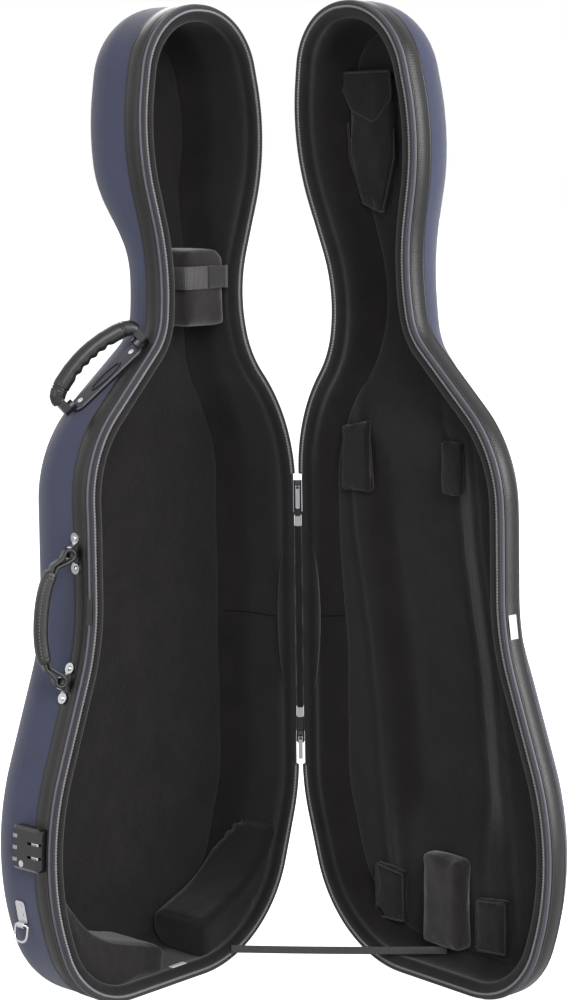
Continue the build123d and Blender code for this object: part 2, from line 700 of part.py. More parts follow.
with BuildPart() as cylinder:
    with BuildSketch(LOCK.offset(LOCK_THICK - 8 + PIN_CLEARANCE)):
        with Locations(CYLINDER_AT):
            Circle(CYLINDER_R)
    extrude(amount=8.4)
    with BuildSketch(LOCK.offset(LOCK_THICK + 0.4)):
        with Locations(CYLINDER_AT):
            Rectangle(5.4, 1.2)
    extrude(amount=-5, mode=Mode.SUBTRACT)
finish("lock_cylinder", cylinder)

# D-ring on a riveted plate, for a shoulder strap
RING_WALL = free_wall(BASE, 142, 70, SHELL_OUT + SEAT_GAP)
RING_WIRE = 1.7
RING_EYE = (-19.0, 4.4)  # up the wall, and out from it
RING_HALF = 12.0
RING_DROP = 22.0
RING_SWING = 20.0
with BuildPart() as plate:
    with BuildSketch(RING_WALL):
        with Locations((-1, 0)):
            RectangleRounded(32, 18, 5)
        with Locations((-16, 0)):
            Rectangle(7, 13)
    extrude(amount=1.6)
    with BuildSketch(Plane(origin=RING_WALL.from_local_coords((RING_EYE[0], -6.5, RING_EYE[1])),
                           x_dir=RING_WALL.x_dir, z_dir=RING_WALL.y_dir)):
        Circle(RING_WIRE + 2.4)
    extrude(amount=13)
    with BuildSketch(Plane(origin=RING_WALL.from_local_coords((RING_EYE[0], -10, RING_EYE[1])),
                           x_dir=RING_WALL.x_dir, z_dir=RING_WALL.y_dir)):
        Circle(RING_WIRE + PIN_CLEARANCE)
    extrude(amount=20, mode=Mode.SUBTRACT)
    for place in (-4, 8):
        with BuildSketch(RING_WALL.offset(1.6)):
            with Locations((place, 0)):
                Circle(3.2)
        extrude(amount=1.2)
finish("d_ring_plate", plate)

RING = Plane(origin=RING_WALL.from_local_coords((RING_EYE[0], 0, RING_EYE[1])), x_dir=-RING_WALL.x_dir,
             z_dir=RING_WALL.z_dir)
RING = turned(RING, RING.y_dir, -RING_SWING)
with BuildPart() as ring_body:
    with BuildLine(RING) as path:
        FilletPolyline((0, RING_HALF), (RING_DROP, RING_HALF), (RING_DROP, -RING_HALF), (0, -RING_HALF),
                       radius=[2.5, 10, 10, 2.5], close=True)
    with BuildSketch(Plane(origin=path.line @ 0, z_dir=path.line % 0)):
        Circle(RING_WIRE)
    sweep()
finish("d_ring", ring_body)


# Hinge: two leaves on a steel pin, hidden behind a spine that turns half as far as the lid
KNUCKLE_PITCH = (HINGE_HIGH - HINGE_LOW) / KNUCKLES
LEAF_FACE = REBATE - LAYER_GAP
for prefix, half, first in (("base", BASE, 0), ("lid", LID, 1)):
    low_n, high_n = sorted((half.side * (LEAF_FACE - LEAF), half.side * LEAF_FACE))
    web_low, web_high = sorted((half.side * 2.6, half.side * LEAF_FACE))
    with BuildPart() as leaf:
        local_box(half, (-0.6, HINGE_LOW, low_n), (REBATE - SEAT_GAP, HINGE_HIGH, high_n))
        for number in range(first, KNUCKLES, 2):
            low = HINGE_LOW + number * KNUCKLE_PITCH + KNUCKLE_GAP / 2
            high = low + KNUCKLE_PITCH - KNUCKLE_GAP
            local_box(half, (-0.6, low, web_low), (1.4, high, web_high))
            with BuildSketch(Plane.XY.offset(low)):
                Circle(KNUCKLE_R)
            extrude(amount=high - low)
        with BuildSketch(Plane.XY.offset(HINGE_LOW - MARGIN)):
            Circle(PIN_R + PIN_CLEARANCE)
        extrude(amount=HINGE_HIGH - HINGE_LOW + 2 * MARGIN, mode=Mode.SUBTRACT)
    finish("hinge_leaf_" + prefix, leaf)

with BuildPart() as pin:
    with BuildSketch(Plane.XY.offset(HINGE_LOW - BLOCK_HEIGHT - 1.5)):
        Circle(PIN_R)
    extrude(amount=HINGE_HIGH - HINGE_LOW + 2 * BLOCK_HEIGHT + 3)
finish("hinge_pin", pin)

# The spine's own directions: x across it, y towards the open side
SPINE_TURN = 180 + OPENING / 2
FACING = (cos(radians(SPINE_TURN)), sin(radians(SPINE_TURN)), 0)
SPINE = Plane(origin=(0, 0, 0), x_dir=(FACING[1], -FACING[0], 0), z_dir=(0, 0, 1))
BLOCK_GAP = 0.5
with BuildPart() as spine:
    with BuildSketch(SPINE.offset(HINGE_LOW - BLOCK_GAP)):
        Circle(SPINE_R)
        Circle(SPINE_R - SPINE_WALL, mode=Mode.SUBTRACT)
        reach = 3 * SPINE_R
        slope = reach / tan(radians(SPINE_HALF_ANGLE))
        with BuildLine():
            Polyline((0, 0), (reach, slope), (reach, -reach), (-reach, -reach), (-reach, slope), (0, 0))
        make_face(mode=Mode.SUBTRACT)
        with Locations((0, SPINE_R - 0.2)):
            Rectangle(2.2, 1.2)
    extrude(amount=HINGE_HIGH - HINGE_LOW + 2 * BLOCK_GAP)
finish("spine_cover", spine)

UPPER_BLOCK = HINGE_HIGH + BLOCK_GAP
LOWER_BLOCK = HINGE_LOW - BLOCK_GAP - BLOCK_HEIGHT
with BuildPart() as blocks:
    for low in (LOWER_BLOCK, UPPER_BLOCK):
        with BuildSketch(SPINE.offset(low)):
            with Locations((0, (BLOCK_FRONT - BLOCK_BACK) / 2)):
                RectangleRounded(2 * BLOCK_HALF, BLOCK_FRONT + BLOCK_BACK, 1)
            Circle(PIN_R + PIN_CLEARANCE, mode=Mode.SUBTRACT)
        extrude(amount=BLOCK_HEIGHT)
finish("hinge_blocks", blocks)

UPPER_BAR = UPPER_BLOCK + BLOCK_HEIGHT
LOWER_BAR = LOWER_BLOCK - BAR_LOW_HEIGHT
with BuildPart() as bars:
    for low, height in ((LOWER_BAR, BAR_LOW_HEIGHT), (UPPER_BAR, BAR_HEIGHT)):
        with BuildSketch(SPINE.offset(low)):
            with Locations((0, 1.2)):
                Rectangle(2 * BAR_HALF, 3)
            Circle(PIN_R + SEAT_GAP, mode=Mode.SUBTRACT)
        extrude(amount=height)
finish("zip_bars", bars)

UPPER_SLIDER = UPPER_BAR + BAR_HEIGHT
LOWER_SLIDER = LOWER_BAR - SLIDER_HEIGHT
PULL_EYE_R = 1.3
PULL_EYE = (0, 6.6)
PULL_LUG = 3.4
with BuildPart() as sliders:
    for low in (LOWER_SLIDER, UPPER_SLIDER):
        with BuildSketch(SPINE.offset(low)):
            with Locations((0, 1.3)):
                RectangleRounded(2 * SLIDER_HALF, 6, 1.6)
        extrude(amount=SLIDER_HEIGHT)
        lug = Plane(origin=SPINE.from_local_coords((-PULL_LUG / 2, 0, low + SLIDER_HEIGHT / 2)),
                    x_dir=SPINE.y_dir, z_dir=SPINE.x_dir)
        with BuildSketch(lug):
            with Locations((5.2, 0)):
                Rectangle(3, 6)
            with Locations((PULL_EYE[1], 0)):
                Circle(3)
        extrude(amount=PULL_LUG)
        with BuildSketch(lug):
            with Locations((PULL_EYE[1], 0)):
                Circle(PULL_EYE_R + PIN_CLEARANCE)
        extrude(amount=PULL_LUG, mode=Mode.SUBTRACT)
finish("zip_sliders", sliders)

for name, low in (("lower", LOWER_SLIDER), ("upper", UPPER_SLIDER)):
    eye = SPINE.from_local_coords((0, PULL_EYE[1], low + SLIDER_HEIGHT / 2))
    with BuildPart() as pull:
        with BuildSketch(Plane(origin=eye, x_dir=SPINE.x_dir, z_dir=-SPINE.y_dir).offset(-PULL_THICK / 2)):
            with Locations((0, 2.4 - PULL_LENGTH / 2)):
                RectangleRounded(PULL_WIDTH, PULL_LENGTH, 2.2)
            with Locations((0, 0.6)):
                Rectangle(PULL_LUG + 2 * SEAT_GAP, 7.6, mode=Mode.SUBTRACT)
        extrude(amount=PULL_THICK)
        with BuildSketch(Plane(origin=eye, x_dir=SPINE.y_dir, z_dir=SPINE.x_dir).offset(-PULL_WIDTH / 2)):
            Circle(PULL_EYE_R)
        extrude(amount=PULL_WIDTH)
    finish("zip_pull_" + name, pull)

# Fittings on the lid's floor


def floor_patch(corners, radii, lift, thick):
    """A soft patch lying on the lid's floor."""
    with BuildSketch(LID.plane.offset(-REACH)) as drawing:
        with BuildLine():
            FilletPolyline(*corners, radius=radii, close=True)
        make_face()
    extrude(drawing.sketch, amount=2 * REACH)
    keep_floor(LID, FLOOR_SKIN + lift + thick, FLOOR_SKIN + lift)
    add(form(LID, SHELL_WALL + LINING + SEAT_GAP), mode=Mode.INTERSECT)


with BuildPart() as patches:
    floor_patch([(53, 660), (53, 752), (110, 763), (110, 660)], [3, 3, 3, 3], SEAT_GAP, 9)
finish("bow_holder_left", patches)
with BuildPart() as patches:
    floor_patch([(252, 672), (252, 745), (290, 745), (290, 672)], [3, 3, 3, 3], SEAT_GAP, 9)
finish("bow_holder_right", patches)
with BuildPart() as patches:
    floor_patch([(104, 47), (104, 131), (165, 127), (165, 52)], [3, 3, 3, 3], SEAT_GAP, 12)
finish("pocket_left", patches)
with BuildPart() as patches:
    floor_patch([(303, 44), (303, 120), (363, 129), (363, 50)], [3, 3, 3, 3], SEAT_GAP, 12)
finish("pocket_right", patches)

POUCH_THICK = 12.0
FLAP_THICK = 2.4
with BuildPart() as pouch:
    floor_patch([(72, 1228), (64, 1120), (90, 1056), (133, 1044), (158, 1120), (160, 1228)],
                [4, 30, 12, 12, 30, 4], SEAT_GAP, POUCH_THICK)
finish("pouch", pouch)
with BuildPart() as flap:
    floor_patch([(52, 1226), (66, 1240), (158, 1240), (160, 1200), (122, 1166), (76, 1184)],
                [4, 4, 4, 16, 18, 16], 2 * SEAT_GAP + POUCH_THICK, FLAP_THICK)
finish("pouch_flap", flap)

PAD_FRONT = 29.0
with BuildPart() as pad:
    with BuildSketch(LID.plane.offset(-PAD_FRONT)):
        with Locations((251, 106)):
            RectangleRounded(76, 130, 9)
    extrude(amount=-(LID_DEPTH - FLOOR_SKIN - SEAT_GAP - PAD_FRONT))
    add(form(LID, FLOOR_SKIN + LAYER_GAP - FLOOR_PAD + SEAT_GAP), mode=Mode.INTERSECT)
finish("lid_pad", pad)

# Check strap, taut at full opening
CHECK_WIDTH = 11.0
CHECK_THICK = 1.6
check_start = BASE.at(150, 24, ROLL_NEAR - SEAT_GAP - CHECK_THICK)
check_end = LID.at(250, 34, -45.3)
along = check_end - check_start
with BuildPart() as check:
    with BuildSketch(Plane(origin=check_start, x_dir=along.cross(Vector(0, 0, 1)), z_dir=along)):
        Rectangle(CHECK_THICK, CHECK_WIDTH)
    extrude(amount=along.length)
finish("check_strap", check)
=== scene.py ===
"""A zipped cello case standing open: its cloth, lining, trim and fittings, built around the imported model.

Sizes are in millimetres until a point is placed. u runs across a half from the hinge, z is up, and
depth is measured from the rim into that half, as the two halves are drawn.
"""

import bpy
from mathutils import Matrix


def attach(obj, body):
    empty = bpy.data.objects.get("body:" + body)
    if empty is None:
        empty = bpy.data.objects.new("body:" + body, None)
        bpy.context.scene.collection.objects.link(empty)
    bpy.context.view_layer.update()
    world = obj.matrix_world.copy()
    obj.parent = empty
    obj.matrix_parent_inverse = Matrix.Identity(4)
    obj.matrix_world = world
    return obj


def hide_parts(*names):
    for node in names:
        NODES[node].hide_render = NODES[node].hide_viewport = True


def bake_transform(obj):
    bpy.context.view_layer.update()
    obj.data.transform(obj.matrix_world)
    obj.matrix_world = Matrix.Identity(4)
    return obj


bl_info = {
    "name": "Cello case",
    "version": (1, 0, 0),
    "blender": (4, 5, 0),
    "location": "View3D > Sidebar > Cello case",
    "description": "Covers, lines and fits out a cello case",
    "category": "Add Mesh",
}

from bisect import bisect_right
import bmesh
import bpy
import math
from mathutils import Matrix, Vector, noise
from mathutils.kdtree import KDTree

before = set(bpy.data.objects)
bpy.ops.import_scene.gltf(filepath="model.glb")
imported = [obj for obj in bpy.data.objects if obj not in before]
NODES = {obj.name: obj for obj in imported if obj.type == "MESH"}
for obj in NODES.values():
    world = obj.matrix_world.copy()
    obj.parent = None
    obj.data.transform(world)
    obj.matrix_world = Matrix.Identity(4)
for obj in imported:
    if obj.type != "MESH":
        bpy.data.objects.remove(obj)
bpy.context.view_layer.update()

MM = 0.001

# The zip line of a closed half, as corners (u, z) and the radius that rounds each
OUTLINE = [
    (424, 7, 119), (492, 217, 358), (389, 497, 320), (387, 743, 163), (238, 888, 81),
    (226, 984, 350), (262, 1147, 330), (226, 1325, 102), (60, 1318, 89), (29, 1142, 308),
    (102, 947, 203), (85, 853, 139), (8, 758, 233), (8, 232, 269), (75, 7, 171),
]
OPENING = math.radians(84)
RIM_BEND = 660.0
RIM_SLOPE = 0.0523
BEND_REACH = 21.0
REBATE_LOW = 262.0
REBATE_HIGH = 682.0
LINING_IN = 9.0         # face of the lining, inside the zip line
LINING_SKIN = 16.0      # face of the lining, in from the outside of the back
FLOOR_SKIN = 22.0
LIGHTEST_TOUCH = 0.3    # nothing visible goes lower than this above the floor

# Back of each half as (height, distance from the zip plane)
BASE_BACK = [(-60, 142), (770, 142), (880, 117), (1000, 122), (1090, 163), (1501, 183)]
LID_BACK = [(-60, 80), (430, 80), (600, 66), (760, 66), (900, 80), (1100, 80), (1501, 60)]


class Half:
    """One half of the case: which way it lies, and how deep its round corner is."""

    def __init__(self, turn, side, back, corner):
        self.across = Vector((-math.cos(turn), -math.sin(turn), 0))
        self.behind = Vector((-math.sin(turn), math.cos(turn), 0))
        self.side = side
        self.back = back
        self.corner = corner

    def place(self, u, z, depth):
        lean = leaning(z)
        return (self.across * u + self.behind * (lean + self.side * depth) + Vector((0, 0, z))) * MM

    def flat(self, u, z, n):
        return (self.across * u + self.behind * n + Vector((0, 0, z))) * MM

    def depth(self, z):
        """Depth of the back behind the rim at a height."""
        for (low, near), (high, far) in zip(self.back, self.back[1:]):
            if low <= z <= high:
                share = (z - low) / (high - low)
                return near + (far - near) * share - self.side * leaning(z)
        return self.back[-1][1]


def leaning(z):
    """How far the rim leans back towards the base at a height."""
    over = z - RIM_BEND
    if over < -BEND_REACH:
        return 0.0
    if over < BEND_REACH:
        return RIM_SLOPE * (over + BEND_REACH) ** 2 / (4 * BEND_REACH)
    return RIM_SLOPE * over


BASE = Half(0.0, 1, BASE_BACK, 62.0)
LID = Half(OPENING, -1, LID_BACK, 66.0)
HALVES = (("base", BASE), ("lid", LID))


def rounded(corners, spacing):
    """Points round a closed outline whose corners are arcs."""
    points = []
    count = len(corners)
    for number in range(count):
        before, here, after = (Vector(corners[(number + k) % count][:2]) for k in (-1, 0, 1))
        radius = corners[number][2]
        inward, outward = (here - before).normalized(), (after - here).normalized()
        turn = math.atan2(inward.x * outward.y - inward.y * outward.x, inward.dot(outward))
        start = here - inward * radius * math.tan(abs(turn) / 2)
        square = Vector((-inward.y, inward.x)) * math.copysign(1, turn)
        centre = start + square * radius
        steps = max(2, math.ceil(radius * abs(turn) / spacing))
        for k in range(steps + 1):
            points.append(centre + Matrix.Rotation(turn * k / steps, 2) @ (start - centre))
    return points


class Line:
    """A line of points that can be walked along by distance."""

    def __init__(self, points, closed=False):
        self.points = list(points) + ([points[0]] if closed else [])
        self.runs = [0.0]
        for a, b in zip(self.points, self.points[1:]):
            self.runs.append(self.runs[-1] + (b - a).length)
        self.length = self.runs[-1]

    def at(self, run):
        run = min(max(run, 0.0), self.length)
        high = min(bisect_right(self.runs, run), len(self.runs) - 1)
        low = high - 1
        step = self.runs[high] - self.runs[low]
        share = (run - self.runs[low]) / step if step else 0.0
        return self.points[low].lerp(self.points[high], share)

    def heading(self, run, reach=1.0):
        return (self.at(run + reach) - self.at(run - reach)).normalized()


ZIP = Line(rounded(OUTLINE, 3.0), closed=True)
RUN_STEPS = 2400
MIDDLE = 200            # u between the hinge side and the free side


def run_at(height, free_side):
    """Distance along the zip line where it passes a height, on the free side or the hinge side."""
    runs = [ZIP.length * k / RUN_STEPS for k in range(RUN_STEPS)]
    on_side = [run for run in runs if (ZIP.at(run).x > MIDDLE) == free_side]
    return min(on_side, key=lambda run: abs(ZIP.at(run).y - height))


RUN_LOW = run_at(REBATE_LOW, False)
RUN_HIGH = run_at(REBATE_HIGH, False)


def station(run):
    """Place and outward direction on the zip line."""
    wrapped = run % ZIP.length
    spot = ZIP.at(wrapped)
    ahead = ZIP.at((wrapped + 1.5) % ZIP.length)
    behind = ZIP.at((wrapped - 1.5) % ZIP.length)
    heading = (ahead - behind).normalized()
    return spot, Vector((heading.y, -heading.x))


def rim_point(half, run, out, depth):
    spot, normal = station(run)
    where = half.place(spot.x + normal.x * out, spot.y + normal.y * out, depth)
    where.z = max(where.z, LIGHTEST_TOUCH * MM)
    return where


# Meshes

def shade_smooth(mesh):
    for polygon in mesh.polygons:
        polygon.use_smooth = True


def new_piece(name, bm, smooth=True):
    """Turns a bmesh into a piece, with its place in its mesh."""
    mesh = bpy.data.meshes.new(name)
    bm.to_mesh(mesh)
    bm.free()
    piece = bpy.data.objects.new(name, mesh)
    bpy.context.scene.collection.objects.link(piece)
    if smooth:
        shade_smooth(mesh)
    return piece


def swept(name, columns, rows, where, measure, capped=True):
    """A strip or tube: a grid whose point (i, j) goes to where(i, j), with its UVs from measure(i, j)."""
    bm = bmesh.new()
    bmesh.ops.create_grid(bm, x_segments=columns, y_segments=rows, size=1.0)
    index_of = {v: (round((v.co.x + 1) * columns / 2), round((v.co.y + 1) * rows / 2)) for v in bm.verts}
    uv = bm.loops.layers.uv.new("UVMap")
    for face in bm.faces:
        for loop in face.loops:
            loop[uv].uv = measure(*index_of[loop.vert])
    for v, (i, j) in index_of.items():
        v.co = where(i, j)
    bmesh.ops.remove_doubles(bm, verts=bm.verts, dist=1e-6)
    if capped:
        edges = [edge for edge in bm.edges if edge.is_boundary]
        bmesh.ops.holes_fill(bm, edges=edges, sides=0)
    bmesh.ops.recalc_face_normals(bm, faces=bm.faces)
    return new_piece(name, bm)


def along_rim(name, half, section, spacing, start=None, stop=None):
    """A tube along the rim with a section of (out, depth) points, all round or from start to stop."""
    closed = start is None
    first = 0.0 if closed else start
    reach = ZIP.length if closed else (stop - start) % ZIP.length
    columns = max(8, round(reach / spacing))
    rows = len(section)
    girth = Line([Vector(p) for p in section], closed=True)

    def where(i, j):
        out, depth = section[j % rows]
        return rim_point(half, first + reach * i / columns, out, depth)

    def measure(i, j):
        return (reach * i / columns * MM, girth.runs[j] * MM)

    return swept(name, columns, rows, where, measure, capped=not closed)


def tube(name, path, radius, sides=14, spacing=3.0, aside=Vector((0, 0, 1)), widen=1.0):
    """A tube along points in millimetres. radius may be a function of the run and the angle round it."""
    line = Line([Vector(p) for p in path])
    columns = max(3, round(line.length / spacing))
    size = radius if callable(radius) else (lambda run, angle: radius)

    def where(i, j):
        run = line.length * i / columns
        heading = line.heading(run, spacing)
        left = heading.cross(aside).normalized()
        top = left.cross(heading)
        angle = 2 * math.pi * j / sides
        r = size(run, angle)
        return (line.at(run) + left * math.cos(angle) * r + top * math.sin(angle) * r * widen) * MM

    def measure(i, j):
        return (line.length * i / columns * MM, j / sides * 0.06)

    return swept(name, columns, sides, where, measure)


def ribbon(name, path, across, width, thick, spacing=2.0, edge=0.35):
    """A flat strap along points in millimetres. across is the direction of its width."""
    line = Line([Vector(p) for p in path])
    columns = max(3, round(line.length / spacing))
    half_width, half_thick = width / 2, thick / 2
    section = [
        (-half_width, 0), (-half_width + edge, -half_thick), (-half_width / 3, -half_thick),
        (half_width / 3, -half_thick), (half_width - edge, -half_thick), (half_width, 0),
        (half_width - edge, half_thick), (half_width / 3, half_thick), (-half_width / 3, half_thick),
        (-half_width + edge, half_thick),
    ]
    rows = len(section)

    def where(i, j):
        run = line.length * i / columns
        heading = line.heading(run, spacing)
        side = (across - heading * across.dot(heading)).normalized()
        up = heading.cross(side)
        a, b = section[j % rows]
        return (line.at(run) + side * a + up * b) * MM

    def measure(i, j):
        return (line.length * i / columns * MM, section[j % rows][0] * MM)

    return swept(name, columns, rows, where, measure)


def from_node(name, node):
    """A copy of a node's mesh with its loose triangles joined."""
    bm = bmesh.new()
    bm.from_mesh(NODES[node].data)
    bmesh.ops.remove_doubles(bm, verts=bm.verts, dist=2e-6)
    bmesh.ops.recalc_face_normals(bm, faces=bm.faces)
    return new_piece(name, bm)


def apply_modifiers(piece):
    bpy.context.view_layer.update()
    graph = bpy.context.evaluated_depsgraph_get()
    mesh = bpy.data.meshes.new_from_object(piece.evaluated_get(graph))
    piece.modifiers.clear()
    piece.data = mesh
    shade_smooth(mesh)


def thicken(piece, name, thickness, offset):
    """Gives a sheet a thickness in millimetres."""
    wall = piece.modifiers.new(name, "SOLIDIFY")
    wall.thickness = thickness * MM
    wall.offset = offset


def inflate(piece, cap):
    """Blows a closed form up with air and lets it settle, each point moving no further than cap (mm)."""
    scene = bpy.context.scene
    start = [v.co.copy() for v in piece.data.vertices]
    air = piece.modifiers.new("air", "CLOTH")
    air.settings.use_pressure = True
    air.settings.uniform_pressure_force = 4.0
    air.settings.quality = 4
    air.settings.effector_weights.gravity = 0.0
    air.point_cache.frame_start = 1
    air.point_cache.frame_end = 20
    for number in range(1, 21):
        scene.frame_set(number)
    graph = bpy.context.evaluated_depsgraph_get()
    moved = [v.co.copy() for v in piece.evaluated_get(graph).data.vertices]
    piece.modifiers.clear()
    scene.frame_set(1)
    for vertex, old, new in zip(piece.data.vertices, start, moved):
        step = new - old
        if step.length > cap * MM:
            step *= cap * MM / step.length
        vertex.co = old + step


def soft(name, node, body, voxel, shrink, ease, cap, ripple, fold=40.0, tone=None):
    """A padded piece in the place of a node: remeshed, drawn in, eased and, where cap is set, inflated."""
    piece = from_node(name, node)
    remesh = piece.modifiers.new("even", "REMESH")
    remesh.mode = "VOXEL"
    remesh.voxel_size = voxel * MM
    apply_modifiers(piece)
    bm = bmesh.new()
    bm.from_mesh(piece.data)
    for _ in range(ease):
        bmesh.ops.smooth_vert(
            bm, verts=bm.verts, factor=0.5, use_axis_x=True, use_axis_y=True, use_axis_z=True)
    bm.normal_update()
    for v in bm.verts:
        wave = noise.noise(v.co / (fold * MM))
        v.co += v.normal * (wave * ripple - shrink) * MM
    bm.to_mesh(piece.data)
    bm.free()
    if cap:
        inflate(piece, cap)
    shade_smooth(piece.data)
    fit(piece, body, "plush", node, tone=tone)


# Materials

def linear(code):
    """An sRGB hex colour as linear values."""
    values = [int(code[k:k + 2], 16) / 255 for k in (1, 3, 5)]
    return [v / 12.92 if v <= 0.04045 else ((v + 0.055) / 1.055) ** 2.4 for v in values] + [1.0]


def add_node(tree, kind, look=None, inputs=None):
    """Adds a node with its settings, and sets or links its inputs."""
    made = tree.nodes.new(kind)
    for key, value in (look or {}).items():
        setattr(made, key, value)
    for key, value in (inputs or {}).items():
        if isinstance(value, bpy.types.NodeSocket):
            tree.links.new(value, made.inputs[key])
        else:
            made.inputs[key].default_value = value
    return made


def start_material(name, sockets):
    """A new material, its node tree and its shader with sockets set."""
    material = bpy.data.materials.new(name)
    material.use_nodes = True
    tree = material.node_tree
    shader = tree.nodes["Principled BSDF"]
    for socket, value in sockets.items():
        shader.inputs[socket].default_value = value
    return material, tree, shader


def grain(size):
    """Texture scale that draws a grain of a size in millimetres."""
    return 1 / (size * MM)


def ribs(pitch):
    """Texture scale that draws bands a pitch in millimetres apart."""
    return math.pi / (10 * pitch * MM)


NOISE = "ShaderNodeTexNoise"
WAVES = "ShaderNodeTexWave"
ACROSS = {"bands_direction": "X"}
CELLS = "ShaderNodeTexVoronoi"
MATH = "ShaderNodeMath"
MILD = {"Detail": 3.0, "Roughness": 0.6}        # how broken up most finishes' noise is


def finish(name, code, contrast, patterns, tint, bumps, sockets, uv=False):
    """A finish whose colour and bump come from patterns.

    patterns maps a name to a node's kind, settings and inputs; an input that is a name is linked to that
    pattern. The colour runs from darker to lighter by contrast along the tint pattern, and bumps gives
    the patterns that raise the surface and how far, in millimetres.
    """
    material, tree, shader = start_material(name, sockets)
    where = add_node(tree, "ShaderNodeTexCoord").outputs["UV" if uv else "Object"]
    made = {}
    for key, (kind, look, inputs) in patterns.items():
        linked = {} if kind == MATH else {"Vector": where}
        linked.update({socket: made.get(value, value) for socket, value in inputs.items()})
        outputs = add_node(tree, kind, look, linked).outputs
        made[key] = outputs["Fac"] if "Fac" in outputs else outputs[0]
    plain = linear(code)[:3]
    low = [v * (1 - contrast) for v in plain] + [1.0]
    high = [min(1.0, v * (1 + contrast)) for v in plain] + [1.0]
    mix = add_node(tree, "ShaderNodeMix", {"data_type": "RGBA"}, {0: made[tint], 6: low, 7: high})
    tree.links.new(mix.outputs[2], shader.inputs["Base Color"])
    inputs = {}
    for key, depth in bumps:
        inputs.update({"Height": made[key], "Distance": depth * MM, "Strength": 1.0})
        bump = add_node(tree, "ShaderNodeBump", None, inputs)
        inputs["Normal"] = bump.outputs["Normal"]
        tree.links.new(bump.outputs["Normal"], shader.inputs["Normal"])
    return material


MATERIALS = {}


